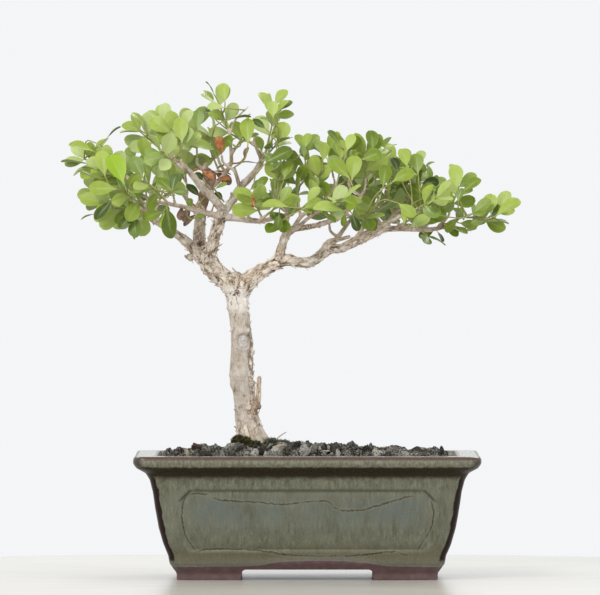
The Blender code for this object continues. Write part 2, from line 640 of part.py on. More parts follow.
def plan_dry_leaves(branches):
    dry = []
    for limb, foot, tip in DRY_LEAVES:
        foot, tip = Vector(foot), Vector(tip)
        direction = (tip - foot).normalized()
        twig = twig_stations(limb, foot, direction)
        branches.add(twig, WOOD)
        leaf = Leaf(foot + direction * GAP / MM, direction, facing(foot), (tip - foot).length)
        dry.append((twig, leaf))
    return dry


def plan_shoots(branches):
    shoots = []
    for number, (limb, foot, tip, pairs) in enumerate(SPRAYS):
        foot, tip = Vector(foot), Vector(tip)
        twig = twig_stations(limb, foot, (tip - foot).normalized())
        stem = stem_stations(foot, tip)
        branches.add(twig, WOOD)
        branches.add(stem, number)
        shoots.append({"twig": twig, "stem": stem, "pairs": pairs, "leaves": []})
    return shoots


def plan_tree():
    """Twigs, stems and leaves of every shoot, placed in turn so that no leaf meets another piece."""
    branches = Branches()
    for _, _, stations in LIMBS.values():
        branches.add(curve_through(stations, 2), WOOD)
    dry = plan_dry_leaves(branches)
    shoots = plan_shoots(branches)
    branches.freeze()
    placed = [(WOOD, leaf, leaf.slab(LEAF_THICKNESS / 2), None) for _, leaf in dry]
    for level in range(MOST_PAIRS):
        for number, shoot in enumerate(shoots):
            pair = shoot["pairs"] - 1 - level
            if pair < 0:
                continue
            chance = random.Random(SEED + 101 * number + 7 * level)
            for side in (1, -1):
                options = leaf_options(shoot["stem"], pair, shoot["pairs"], side, chance)
                leaf = next((leaf for leaf in options if fits(leaf, number, branches, placed)), None)
                if leaf:
                    whole, blade = leaf.slab(LEAF_THICKNESS / 2), leaf.slab(LEAF_THICKNESS / 2, BLADE_START)
                    placed.append((number, leaf, whole, blade))
                    shoot["leaves"].append(leaf)
    return shoots, dry


def fits(leaf, number, branches, placed):
    """True if a leaf clears the branches, the leaves of other shoots and the blades on its own."""
    if not branches.clear_of(leaf.samples(), number, BRANCH_CLEARANCE):
        return False
    grown = leaf.slab(LEAF_THICKNESS / 2 + LEAF_CLEARANCE)
    own = leaf.slab(LEAF_THICKNESS / 2, BLADE_START)
    middle = leaf.point(0.5, 0)
    for owner, other, whole, blade in placed:
        if (other.point(0.5, 0) - middle).length > other.length + leaf.length:
            continue
        if owner == number:
            if own.overlap(blade):
                return False
        elif grown.overlap(whole):
            return False
    return True


# Wood, shoots and leaves as solids


def tube(name, stations, sides, collection, grow=0.0):
    """A round stick through stations in millimetres, its ends capped."""
    curve = bpy.data.curves.new(name, "CURVE")
    curve.dimensions = "3D"
    curve.bevel_depth = MM
    curve.bevel_resolution = sides // 2 - 2
    curve.use_fill_caps = True
    spline = curve.splines.new("POLY")
    spline.points.add(len(stations) - 1)
    for point, (x, y, z, radius) in zip(spline.points, stations):
        point.co = (x * MM, y * MM, z * MM, 1)
        point.radius = radius + grow
    return curve_to_mesh(bpy.data.objects.new(name, curve), collection)


def ball(name, centre, radii, collection):
    work = bmesh.new()
    bmesh.ops.create_icosphere(work, subdivisions=1, radius=1)
    place = Matrix.Translation(Vector(centre) * MM) @ Matrix.Diagonal((*(Vector(radii) * MM), 1))
    bmesh.ops.transform(work, matrix=place, verts=work.verts)
    mesh = bpy.data.meshes.new(name)
    work.to_mesh(mesh)
    work.free()
    return mesh_object(name, mesh, collection)


def build_wood(twigs, collection):
    """Trunk, roots, limbs and twigs, grown together as one piece."""
    pieces = []
    for name, (sides, steps, stations) in LIMBS.items():
        pieces.append(tube(name, curve_through(stations, steps), sides, collection))
    pieces += [tube("twig", twig, 4, collection) for twig in twigs]
    pieces += [ball("scar", centre, radii, collection) for centre, radii in SCARS]
    wood = combine(pieces[0], "UNION", pieces[1:])
    wood.name = "wood"
    wood.data.materials.clear()
    wood.data.materials.append(material("bark"))
    return smooth_shade(wood, 50)


def leaf_object(name, leaf, collection, surface):
    """A leaf as a thin folded blade: its open surface, given its thickness by Solidify."""
    mesh = bpy.data.meshes.new(name)
    mesh.from_pydata([p * MM for p in leaf.surface()], [], LEAF_FACES)
    obj = mesh_object(name, mesh, collection, surface)
    blade = obj.modifiers.new("blade", "SOLIDIFY")
    blade.thickness = LEAF_THICKNESS * MM
    blade.offset = 0
    return apply_modifiers(obj)


def build_spray(number, shoot, collection):
    """A green shoot: its square stem, with its leaves sunk into it."""
    stem = tube(f"spray_{number:02d}", shoot["stem"], 4, collection)
    combine(stem, "UNION", [leaf_object("leaf", leaf, collection, "leaf") for leaf in shoot["leaves"]])
    stem.data.materials.clear()
    stem.data.materials.append(material("leaf"))
    return stem


# Soil


def soil_height(x, y):
    """Height of the soil in millimetres: mounded in the middle and at the trunk, lower at the walls, lumpy."""
    border = INNER_PROFILE[1][0]
    off_middle = max(abs(x - POT_X) / (POT_LENGTH / 2 - border), abs(y) / (POT_DEPTH / 2 - border))
    mound = SOIL_MOUND * max(0.0, 1 - off_middle**3)
    trunk_x, trunk_y = LIMBS["trunk"][2][0][:2]
    from_trunk = math.hypot(x - trunk_x, y - trunk_y) / TRUNK_MOUND_REACH
    place = Vector((x, y, 0))
    distances, _ = noise.voronoi(place / LUMP_SPACING + SOIL_SEED)
    lump = LUMP_HEIGHT * (0.75 - distances[0])
    rough = ROUGH_HEIGHT * noise.noise(place / ROUGH_SPACING + SOIL_SEED)
    return SOIL_EDGE + mound + TRUNK_MOUND * max(0.0, 1 - from_trunk) + lump + rough


def soil_block(collection):
    """A block with a lumpy top, larger all round than the inside of the pot."""
    half_x, half_y = POT_LENGTH / 2 - INNER_PROFILE[0][0], POT_DEPTH / 2 - INNER_PROFILE[0][0]
    work = bmesh.new()
    bmesh.ops.create_grid(work, x_segments=SOIL_CELLS[0], y_segments=SOIL_CELLS[1], size=1)
    for vertex in work.verts:
        x, y = POT_X + vertex.co.x * half_x, vertex.co.y * half_y
        vertex.co = Vector((x, y, soil_height(x, y))) * MM
    skirt = bmesh.ops.extrude_face_region(work, geom=work.faces[:])
    for item in skirt["geom"]:
        if isinstance(item, bmesh.types.BMVert):
            item.co.z = (FLOOR_TOP - CUT_OVER) * MM
    low = [v for v in work.verts if v.co.z < FLOOR_TOP * MM]
    edges = [e for e in work.edges if all(v.co.z < FLOOR_TOP * MM for v in e.verts)]
    bmesh.ops.dissolve_limit(work, angle_limit=math.radians(1), verts=low, edges=edges)
    bmesh.ops.recalc_face_normals(work, faces=work.faces)
    mesh = bpy.data.meshes.new("soil")
    work.to_mesh(mesh)
    work.free()
    return mesh_object("soil", mesh, collection, "soil")


def cavity(collection):
    """The inside of the pot, a hair smaller all round, and open upwards."""
    clear = GAP / MM
    rings = [rounded_rectangle(INNER_PROFILE[1][0] + clear, POT_HEIGHT * 2, INNER_CORNER_RADIUS)]
    for inset, z in INNER_PROFILE[1:]:
        lift = clear if z == FLOOR_TOP else 0
        rings.append(rounded_rectangle(inset + clear, z + lift, INNER_CORNER_RADIUS))
    return loft("cavity", rings, collection)


def root_hole(name, collection):
    """The plain hole that the trunk or a root stands in: its own shape, a little wider and deeper."""
    sides, steps, stations = LIMBS[name]
    line = curve_through(stations, steps)
    low, above = (line[0], line[1]) if name == "trunk" else (line[-1], line[-2])
    foot = Vector(low[:3])
    beyond = (*(foot + (foot - Vector(above[:3])).normalized() * ROOT_CLEARANCE), low[3])
    line = [beyond, *line] if name == "trunk" else [*line, beyond]
    return tube("root_hole", line, sides, collection, grow=ROOT_CLEARANCE)


def build_soil(collection):
    """The soil, trimmed to the inside of the pot and cut clear of the screens and the roots."""
    soil = combine(soil_block(collection), "INTERSECT", [cavity(collection)])
    clear = GAP / MM
    half = SCREEN_SIDE / 2 + clear
    low, high = FLOOR_TOP - CUT_OVER, FLOOR_TOP + SCREEN_THICKNESS + 2 * clear
    cutters = []
    for x in (POT_X - DRAIN_X, POT_X + DRAIN_X):
        cutters.append(block("recess", (x - half, -half, low), (x + half, half, high), collection))
    cutters += [root_hole(name, collection) for name in ROOTS]
    return combine(soil, "DIFFERENCE", cutters)


def main():
    collection = start_scene()
    shoots, dry = plan_tree()
    build_pot(collection)
    for name, x in (("drain_screen_left", -DRAIN_X), ("drain_screen_right", DRAIN_X)):
        build_screen(name, POT_X + x, collection)
    build_wood([twig for twig, _ in dry] + [shoot["twig"] for shoot in shoots], collection)
    build_soil(collection)
    for number, (_, leaf) in enumerate(dry, 1):
        leaf_object(f"dry_leaf_{number}", leaf, collection, "dry")
    for number, shoot in enumerate(shoots, 1):
        build_spray(number, shoot, collection)
    print("leaves", sum(len(shoot["leaves"]) for shoot in shoots))


main()
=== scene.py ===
# %% [markdown]
# # A Japanese boxwood bonsai
#
# A boxwood grown small: a slim pale trunk that forks into two limbs, pads of small glossy leaves, and a
# glazed pot of dark crumbly soil. The tree, its soil and the pot already exist as plain measured solids.
# This lesson keeps every one of them in its place and gives each its real skin: bark with fissures and
# loose paper, leaves with a rib and a curl, broken lumps of soil, and a glaze that ran in the kiln.
#
# Tables of places are in millimetres, because that is how a potter or a gardener measures.

import math
import random

import bmesh
import bpy
import numpy as np
from mathutils import Matrix, Vector, noise
from mathutils.bvhtree import BVHTree
from mathutils.kdtree import KDTree


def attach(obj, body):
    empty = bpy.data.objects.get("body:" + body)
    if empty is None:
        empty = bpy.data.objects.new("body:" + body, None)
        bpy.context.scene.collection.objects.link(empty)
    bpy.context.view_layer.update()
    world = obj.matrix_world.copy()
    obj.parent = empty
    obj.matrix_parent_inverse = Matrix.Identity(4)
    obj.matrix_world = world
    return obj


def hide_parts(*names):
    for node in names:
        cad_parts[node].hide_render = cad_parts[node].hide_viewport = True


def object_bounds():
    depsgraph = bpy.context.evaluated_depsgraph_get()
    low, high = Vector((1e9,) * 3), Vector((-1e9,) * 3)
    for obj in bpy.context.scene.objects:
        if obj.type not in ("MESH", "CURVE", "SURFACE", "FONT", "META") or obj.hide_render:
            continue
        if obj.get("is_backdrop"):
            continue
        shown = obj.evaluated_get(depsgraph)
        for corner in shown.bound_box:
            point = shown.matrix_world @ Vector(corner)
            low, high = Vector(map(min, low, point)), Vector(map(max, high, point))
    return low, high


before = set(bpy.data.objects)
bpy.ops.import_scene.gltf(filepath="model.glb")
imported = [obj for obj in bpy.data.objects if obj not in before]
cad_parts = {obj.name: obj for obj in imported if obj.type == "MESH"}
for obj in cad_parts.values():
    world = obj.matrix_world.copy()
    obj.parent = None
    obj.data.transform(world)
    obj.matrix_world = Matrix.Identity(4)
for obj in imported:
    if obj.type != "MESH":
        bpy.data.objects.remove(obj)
measured_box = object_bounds()
MM = 0.001
UP = Vector((0, 0, 1))
print(len(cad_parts), "solids; their box in mm:", [[round(v / MM) for v in c] for c in measured_box])

# %% [markdown]
# ## Camera and light
#
# The tree is seen from far away through a long lens, a little above the rim, so the pot shows almost no
# top. A tall tree of flat leaves looks best in light from all round: a white room gives most of it, one
# large soft lamp in front on the left models the trunk, and a weaker one behind lights the leaf edges.
# The Standard view keeps the colours as they are measured.

# %% Camera
EYE = Vector((6.6, -8000, 306))
AIM = Vector((6.6, 0, 201.8))
LENS = 663.6
SENSOR = 36.0


def stand_camera():
    data = bpy.data.cameras.new("camera")
    data.lens = LENS
    data.sensor_width = SENSOR
    data.clip_end = 60
    camera = bpy.data.objects.new("camera", data)
    camera.location = EYE * MM
    camera.rotation_euler = (AIM - EYE).to_track_quat("-Z", "Y").to_euler()
    bpy.context.scene.collection.objects.link(camera)
    bpy.context.scene.camera = camera
    bpy.context.scene.view_settings.view_transform = "Standard"


stand_camera()
print("camera", round((AIM - EYE).length / 1000, 2), "m away")

# %% Places in the picture
PICTURE = (600, 595)
PICTURE_SCALE = LENS / SENSOR * PICTURE[0]


def picture_axes():
    """The camera's own ways: ahead, to the right and up."""
    ahead, right = (AIM - EYE).normalized(), Vector((1, 0, 0))
    return ahead, right, right.cross(ahead)


def in_picture(points):
    """Where places fall in the picture: pixels across, pixels down, and pixels to a millimetre there."""
    ahead, right, above = (np.array(axis) for axis in picture_axes())
    offset = np.asarray(points, float) - np.array(EYE)
    scale = PICTURE_SCALE / (offset @ ahead)
    return PICTURE[0] / 2 + offset @ right * scale, PICTURE[1] / 2 - offset @ above * scale, scale


def place_at(px, py, y):
    """The place at a depth that falls on one pixel of the picture."""
    ahead, right, above = picture_axes()
    way = ahead * PICTURE_SCALE + right * (px - PICTURE[0] / 2) - above * (py - PICTURE[1] / 2)
    return EYE + way * ((y - EYE.y) / way.y)


# %% Lamps and the white room
ROOM_COLOUR = (0.97, 0.985, 1.0)
ROOM_STRENGTH = 0.93


def hang_lamp(name, place, aim, size, power, colour):
    data = bpy.data.lights.new(name, "AREA")
    data.shape = "DISK"
    data.size = size
    data.energy = power
    data.color = colour
    lamp = bpy.data.objects.new(name, data)
    lamp.location = place
    lamp.rotation_euler = (Vector(aim) - Vector(place)).to_track_quat("-Z", "Y").to_euler()
    bpy.context.scene.collection.objects.link(lamp)


def light_room():
    world = bpy.data.worlds.new("room")
    world.use_nodes = True
    paint = world.node_tree.nodes["Background"]
    paint.inputs["Color"].default_value = (*ROOM_COLOUR, 1)
    paint.inputs["Strength"].default_value = ROOM_STRENGTH
    bpy.context.scene.world = world
    hang_lamp("front lamp", (-1.5, -2.6, 2.3), (0, 0, 0.2), 1.3, 62, (1.0, 0.97, 0.92))
    hang_lamp("side lamp", (2.6, -1.4, 1.2), (0, 0, 0.2), 1.4, 14, (0.95, 0.98, 1.0))
    hang_lamp("back lamp", (0.8, 2.4, 2.2), (0, 0, 0.25), 1.2, 22, (1.0, 1.0, 0.98))


light_room()

# %% [markdown]
# ## Short words for making things
#
# Everything below is built from three ideas. A *piece* is a closed mesh made from a list of points and
# faces. A *heap* gathers many small closed forms into one piece. A *finish* is a material whose nodes are
# wired by short calls, so that a glaze or a bark can be read as a recipe. Points carry numbers of their
# own, such as how far along a leaf they lie, which the finishes read as attributes.


# %% Pieces
def smooth_share(value, low, high):
    """0 below low, 1 above high, and an even S between them."""
    share = np.clip((value - low) / (high - low), 0, 1)
    return share * share * (3 - 2 * share)


def make_piece(name, points, faces, finish, crisp=50):
    """A smooth-shaded object from points in millimetres, its edges over crisp degrees kept sharp."""
    mesh = bpy.data.meshes.new(name)
    mesh.from_pydata((np.asarray(points, float) * MM).tolist(), [], faces)
    mesh.materials.append(finish)
    piece = bpy.data.objects.new(name, mesh)
    bpy.context.scene.collection.objects.link(piece)
    return shade(piece, crisp)


def shade(piece, crisp=50):
    piece.data.shade_smooth()
    piece.data.set_sharp_from_angle(angle=math.radians(crisp))
    return piece


def keep_numbers(piece, **numbers):
    """Stores a number at every point of the piece under each name, for its finish to read."""
    for name, values in numbers.items():
        attribute = piece.data.attributes.new(name, "FLOAT", "POINT")
        attribute.data.foreach_set("value", np.asarray(values, np.float32))


def normals_of(piece, kind="normal"):
    """The way that the skin looks at every point of a piece."""
    flat = np.empty(len(piece.data.vertices) * 3, np.float32)
    piece.data.vertices.foreach_get(kind, flat)
    return flat.reshape(-1, 3).astype(float)


def points_of(piece):
    """Every point of a piece, in millimetres."""
    return normals_of(piece, "co") / MM


def move_points(piece, points):
    piece.data.vertices.foreach_set("co", (np.asarray(points) * MM).astype(np.float32).ravel())
    piece.data.update()


# %% Cutting
def apply_modifiers(piece):
    """Turns the piece into the mesh that its modifiers give."""
    bpy.context.view_layer.update()
    graph = bpy.context.evaluated_depsgraph_get()
    mesh = bpy.data.meshes.new_from_object(piece.evaluated_get(graph))
    piece.modifiers.clear()
    piece.data = mesh
    return piece


def cut(piece, tool, operation="DIFFERENCE"):
    """Cuts one closed piece with another, and puts the tool away."""
    step = piece.modifiers.new("cut", "BOOLEAN")
    step.operation = operation
    step.object = tool
    step.solver = "MANIFOLD"
    apply_modifiers(piece)
    bpy.data.objects.remove(tool)
    return piece


# %% Many places, many forms
def search_tree(places):
    """Finds the nearest of many places quickly."""
    tree = KDTree(len(places))
    for index, place in enumerate(places):
        tree.insert(place[:3], index)
    tree.balance()
    return tree


def any_way(chance, lift=0.0, rising=1.0):
    """A way drawn by chance, even all round unless it is lifted or flattened."""
    return Vector((chance.gauss(0, 1), chance.gauss(0, 1), chance.gauss(lift, rising)))


def grid(rows, columns):
    """The faces of a grid of points laid row by row, and the points round its border."""
    corners = [j * columns + i for j in range(rows - 1) for i in range(columns - 1)]
    faces = [[a, a + 1, a + columns + 1, a + columns] for a in corners]
    count = rows * columns
    border = [*range(columns), *range(2 * columns - 1, count, columns)]
    border += [*range(count - 2, count - columns - 1, -1), *range(count - 2 * columns, 0, -columns)]
    return faces, border


class Heap:
    """Many small closed forms that become one piece, each point with its own numbers."""

    def __init__(self, *names):
        self.points, self.faces, self.count = [], [], 0
        self.numbers = {name: [] for name in names}

    def add(self, points, faces, **numbers):
        self.points.append(np.asarray(points, float))
        self.faces += [[index + self.count for index in face] for face in faces]
        self.count += len(points)
        for name, values in self.numbers.items():
            values.append(np.broadcast_to(numbers[name], len(points)))

    def piece(self, name, finish, crisp=50):
        made = make_piece(name, np.concatenate(self.points), self.faces, finish, crisp)
        keep_numbers(made, **{key: np.concatenate(values) for key, values in self.numbers.items()})
        return made


def settle(piece, slot, *nodes):
    """Seats a finished piece: it moves with the tree's one body and stands for the measured solids named."""
    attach(piece, "root")
    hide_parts(*nodes)
    print(f"{piece.name}: {len(piece.data.polygons)} faces")


print("a grid of 2 by 3 points:", grid(2, 3))


# %% Finishes
class Finish:
    """A material and the short calls that wire its nodes. Sizes are in millimetres."""

    def __init__(self, name, **constants):
        self.material = bpy.data.materials.new(name)
        self.material.use_nodes = True
        self.tree = self.material.node_tree
        self.shader = self.tree.nodes["Principled BSDF"]
        for socket, value in constants.items():
            self.shader.inputs[socket.replace("_", " ")].default_value = value
        place = self.add("ShaderNodeTexCoord").outputs["Object"]
        scaled = self.add("ShaderNodeVectorMath", {0: place, "Scale": 1 / MM}, operation="SCALE")
        self.place = scaled.outputs[0]
        split = self.add("ShaderNodeSeparateXYZ", {0: self.place})
        self.x, self.y, self.z = split.outputs

    def add(self, kind, feeds=None, **settings):
        node = self.tree.nodes.new(kind)
        for key, value in settings.items():
            setattr(node, key, value)
        for key, value in (feeds or {}).items():
            self.feed(node.inputs[key], value)
        return node

    def feed(self, socket, value):
        if isinstance(value, bpy.types.NodeSocket):
            self.tree.links.new(value, socket)
        elif isinstance(value, tuple) and len(value) == 3 and socket.type == "RGBA":
            socket.default_value = (*value, 1)
        else:
            socket.default_value = value

    def give(self, socket, value):
        """Feeds one socket of the shader."""
        self.feed(self.shader.inputs[socket], value)

    def number(self, name):
        """The number that the points of the piece carry under this name."""
        return self.add("ShaderNodeAttribute", attribute_name=name).outputs["Fac"]

    def sum(self, operation, *values):
        node = self.add("ShaderNodeMath", operation=operation)
        for socket, value in zip(node.inputs, values):
            self.feed(socket, value)
        return node.outputs[0]

    def scaled(self, value, factor, offset=0.0):
        """A value times a factor, plus an offset."""
        return self.sum("MULTIPLY_ADD", value, factor, offset)

    def stretched(self, along):
        """The place, with the blobs of a noise drawn out along x, y and z by these factors."""
        feeds = {0: self.place, 1: tuple(1 / factor for factor in along)}
        return self.add("ShaderNodeVectorMath", feeds, operation="MULTIPLY").outputs[0]

    def cloud(self, size, detail=3.0, along=None, roughness=0.55):
        """Cloudy noise about 0.5, its blobs about size across."""
        where = self.stretched(along) if along else self.place
        feeds = {"Vector": where, "Scale": 1 / size, "Detail": detail, "Roughness": roughness}
        return self.add("ShaderNodeTexNoise", feeds).outputs["Fac"]

    def cells(self, size, along=None):
        """The distance from the middle of the nearest cell, the cells about size across."""
        where = self.stretched(along) if along else self.place
        return self.add("ShaderNodeTexVoronoi", {"Vector": where, "Scale": 1 / size}).outputs["Distance"]

    def rise(self, value, low, high):
        """0 below low, 1 above high, and an even S between them. It falls where low is above high."""
        feeds = {"Value": value, "From Min": low, "From Max": high}
        if low > high:
            feeds.update({"From Min": high, "From Max": low, "To Min": 1.0, "To Max": 0.0})
        return self.add("ShaderNodeMapRange", feeds, interpolation_type="SMOOTHSTEP").outputs["Result"]

    def both(self, *shares):
        """All the shares multiplied. One written (value, low, high) is the rise between those two."""
        shares = [self.rise(*share) if isinstance(share, tuple) else share for share in shares]
        total = shares[0]
        for share in shares[1:]:
            total = self.sum("MULTIPLY", total, share)
        return total

    def curve(self, value, stops):
        """A number for each value, on a smooth curve through a list of (value, number), all 0 to 1."""
        node = self.add("ShaderNodeFloatCurve", {"Value": value})
        curve = node.mapping.curves[0]
        for _ in stops[2:]:
            curve.points.new(0.5, 0.5)
        for point, stop in zip(curve.points, stops):
            point.location = stop
        node.mapping.update()
        return node.outputs[0]

    def ramp(self, value, stops):
        """A colour for each value, from a list of (position, colour)."""
        node = self.add("ShaderNodeValToRGB", {0: value})
        scale = node.color_ramp
        while len(scale.elements) < len(stops):
            scale.elements.new(0.5)
        for element, (position, colour) in zip(scale.elements, stops):
            element.position = position
            element.color = (*colour, 1)
        return node.outputs["Color"]

    def over(self, colour, share, top):
        """A colour with another laid over it by a share."""
        node = self.add("ShaderNodeMix", data_type="RGBA")
        self.feed(node.inputs[0], share)
        self.feed(node.inputs[6], colour)
        self.feed(node.inputs[7], top)
        return node.outputs[2]

    def coat(self, top, *shares):
        """Lays a colour over what this finish has so far, by all the shares multiplied."""
        self.colour = self.over(self.colour, self.both(*shares), top)

    def relief(self, height, depth):
        """Bumps whose height from 0 to 1 stands for this many millimetres."""
        feeds = {"Height": height, "Distance": depth * MM, "Strength": 1.0}
        self.give("Normal", self.add("ShaderNodeBump", feeds).outputs["Normal"])


# %% [markdown]
# ## The floor
#
# A pale round board stands in for the table. It is wide enough that its far edge shows as a low
# horizon behind the pot, and its faint cloudy tone keeps it from looking like paper.

# %% Floor
FLOOR_RADIUS = 460
FLOOR_DROP = 0.3


def lay_floor():
    """A low-gloss board: the pot and the gap between its feet are faintly mirrored in it."""
    f = Finish("pale polished board", Specular_IOR_Level=0.5)
    grain = f.cloud(3, detail=3, along=(22, 1, 1))
    tone = f.scaled(grain, 0.5, f.both(f.cloud(90, detail=2), 0.5))
    f.give("Base Color", f.ramp(tone, [(0.35, (0.6, 0.575, 0.52)), (0.65, (0.64, 0.618, 0.565))]))
    f.give("Roughness", f.scaled(grain, 0.1, 0.16))
    angles = np.radians(np.arange(0, 360, 2.5))
    rim = [(FLOOR_RADIUS * math.cos(a), FLOOR_RADIUS * math.sin(a), -FLOOR_DROP) for a in angles]
    floor = make_piece("floor", rim, [list(range(len(rim)))], f.material)
    floor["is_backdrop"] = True


lay_floor()
# %% [markdown]
# ## The pot
#
# The pot is stoneware pressed in a mould: flaring walls, a heavy lip, a sunk panel with cut corners in
# each side and four corner feet. It could be carved from a box with modifiers, but its outline is one
# profile carried round a rounded rectangle, so it is lofted: the profile is sampled finely and rounded as
# a thick glaze rounds it, and each sample becomes a ring. The panels are then pressed in by moving the
# points that lie inside an eight-sided outline, and the feet are parted by cutting.

# %% Pot: the profile, rounded
POT_X = 11.8
HALF_LENGTH, HALF_DEPTH = 125.0, 92.5
OUTER_PROFILE = [
    (31.1, 0), (31.1, 4.5), (28.2, 8.3), (25.9, 11.5), (25.0, 17), (21.4, 25.5), (17.9, 38),
    (15.6, 52), (13.9, 64), (11.8, 72), (8.8, 77), (2.4, 80.6), (0, 84), (0.2, 87.6), (1.6, 89),
]
INNER_PROFILE = [(17.0, 89), (18.2, 88), (19.2, 74), (21.5, 52), (26.5, 30), (31.5, 18), (35.0, 14.5)]
OUTER_CORNER, INNER_CORNER = 8.0, 6.0
FINE_STEP, COARSE_STEP = 1.1, 5.0


def walk_profile(profile, step):
    """Points at even steps along a profile of (inset, height), its bends rounded a little."""
    line = np.array(profile, float)
    run = np.concatenate([[0], np.cumsum(np.linalg.norm(np.diff(line, axis=0), axis=1))])
    places = np.linspace(0, run[-1], 2 * round(run[-1] / step) + 1)
    line = np.column_stack([np.interp(places, run, column) for column in line.T])
    for _ in range(4):
        line[1:-1] = (line[:-2] + 2 * line[1:-1] + line[2:]) / 4
    return line[::2]


outside = walk_profile(OUTER_PROFILE + INNER_PROFILE[:1], FINE_STEP)
inside = walk_profile(INNER_PROFILE, COARSE_STEP)[1:]
print(len(outside), "rings outside,", len(inside), "inside")

# %% Pot: rings round a rounded rectangle
CORNER_SIGNS = [(1, 1), (-1, 1), (-1, -1), (1, -1)]
CORNER_STEPS = 9
SIDE_STEPS = (150, 108)


def ring_round(inset, corner, height):
    """A level ring round the pot at one inset from the rim's edge."""
    half_x, half_y = HALF_LENGTH - inset, HALF_DEPTH - inset
    arcs = []
    for quarter, (sign_x, sign_y) in enumerate(CORNER_SIGNS):
        angle = np.radians(90 * (quarter + np.linspace(0, 1, CORNER_STEPS + 1)))
        x = sign_x * (half_x - corner) + corner * np.cos(angle)
        y = sign_y * (half_y - corner) + corner * np.sin(angle)
        arcs.append(np.column_stack([x, y]))
    ring = []
    for quarter in range(4):
        start, end = arcs[quarter][-1], arcs[(quarter + 1) % 4][0]
        share = np.linspace(0, 1, SIDE_STEPS[quarter % 2] + 1)[:-1, None]
        ring += [arcs[quarter][:-1], start + (end - start) * share]
    flat = np.concatenate(ring)
    return np.column_stack([flat[:, 0] + POT_X, flat[:, 1], np.full(len(flat), height)])


def loft(rings):
    """Points and faces of a closed solid through rings of as many points each."""
    size = len(rings[0])
    faces = [list(range(size))[::-1], [len(rings) * size - size + i for i in range(size)]]
    for level in range(len(rings) - 1):
        for i in range(size):
            a, b = level * size + i, level * size + (i + 1) % size
            faces.append([a, b, b + size, a + size])
    return np.concatenate(rings), faces


def pot_rings():
    walls = ((OUTER_CORNER, outside), (INNER_CORNER, inside))
    return [ring_round(inset, corner, height) for corner, line in walls for inset, height in line]


# %% Pot: sunk panels and a hand-made surface
PANEL_MARGIN, PANEL_LOW, PANEL_HIGH, PANEL_CUT = 34.0, 20.0, 65.0, 7.0
PANEL_SINK = 1.3
PANEL_SLOPE = 2.6  # how wide the soft step round a panel is
WALL_LOW, WALL_HIGH = 12.0, 76.0


def panel_depth(across, half, height):
    """How far inside a panel's outline a place on the wall lies: negative is outside it."""
    from_end = half - PANEL_MARGIN - np.abs(across)
    from_low, from_high = height - PANEL_LOW, PANEL_HIGH - height
    cut_low = (from_end + from_low - PANEL_CUT) / math.sqrt(2)
    cut_high = (from_end + from_high - PANEL_CUT) / math.sqrt(2)
    return np.minimum.reduce([from_end, from_low, from_high, cut_low, cut_high])


def press_panels(points):
    """Sinks a panel into each side, with a slightly deeper line where the step meets it."""
    x, y, z = points[:, 0] - POT_X, points[:, 1], points[:, 2]
    wall = (np.abs(y) > HALF_DEPTH - 32) | (np.abs(x) > HALF_LENGTH - 32)
    wall &= (z > WALL_LOW) & (z < WALL_HIGH)
    outer = points_outside(points)
    long_side = HALF_LENGTH - np.abs(x) > HALF_DEPTH - np.abs(y)
    depth = np.where(long_side, panel_depth(x, HALF_LENGTH, z), panel_depth(y, HALF_DEPTH, z))
    sink = PANEL_SINK * smooth_share(depth, -0.6, PANEL_SLOPE - 0.6)
    sink += 0.3 * np.exp(-(((depth - 1.9) / 1.1) ** 2))
    sink *= wall & outer
    points[:, 1] -= np.where(long_side, np.sign(y) * sink, 0)
    points[:, 0] -= np.where(long_side, 0, np.sign(x) * sink)
    return points


def points_outside(points):
    """True for the points of the pot's outer skin."""
    inset = np.minimum(HALF_LENGTH - np.abs(points[:, 0] - POT_X), HALF_DEPTH - np.abs(points[:, 1]))
    heights, insets = [z for _, z in OUTER_PROFILE], [inset for inset, _ in OUTER_PROFILE]
    return inset < np.interp(points[:, 2], heights, insets) + 4


def hand_made(points):
    """Small swells of clay and glaze, none at the feet."""
    for point in points:
        place = Vector(point)
        swell = 0.3 * noise.noise(place / 26) + 0.16 * noise.noise(place / 7 + UP * 9)
        share = min(1.0, max(0.0, (point[2] - 3) / 6))
        outward = Vector((point[0] - POT_X, point[1], 0)).normalized()
        point[:2] += np.array(outward.xy) * (swell - 0.25) * share
    return points


# %% Pot: feet, arches and drain holes
FOOT_INSET, FOOT_RING, FOOT_LENGTH, FOOT_DEPTH = 31.1, 14.0, 46.5, 30.0
HOLLOW_TOP, ARCH_TOP, ARCH_CORNER = 8.0, 7.2, 3.5
DRAIN_X, DRAIN_RADIUS, FLOOR_TOP = 58.0, 8.0, 14.5


def arch_tool(half_width, reach, across):
    """The low round-cornered way between two feet, through the pot along Y, or along X if across."""
    turns = np.radians(np.linspace(0, 90, 9))
    bends = [(ARCH_CORNER * (1 - math.cos(t)), ARCH_CORNER * (1 - math.sin(t))) for t in turns]
    right = [(half_width - inward, ARCH_TOP - down) for inward, down in bends]
    outline = [(-half_width, -2), (half_width, -2), *right, *[(-w, z) for w, z in reversed(right)]]
    rings = []
    for end in (-reach, reach):
        ring = [(POT_X + w, end, z) if not across else (POT_X + end, -w, z) for w, z in outline]
        rings.append(np.array(ring[::-1]))
    return tool_piece(*loft(rings))


def tool_piece(points, faces):
    """A cutting tool: a plain solid whose faces are turned to point outwards."""
    tool = make_piece("tool", points, faces, bpy.data.materials.new("tool"))
    work = bmesh.new()
    work.from_mesh(tool.data)
    bmesh.ops.recalc_face_normals(work, faces=work.faces)
    work.to_mesh(tool.data)
    work.free()
    return tool


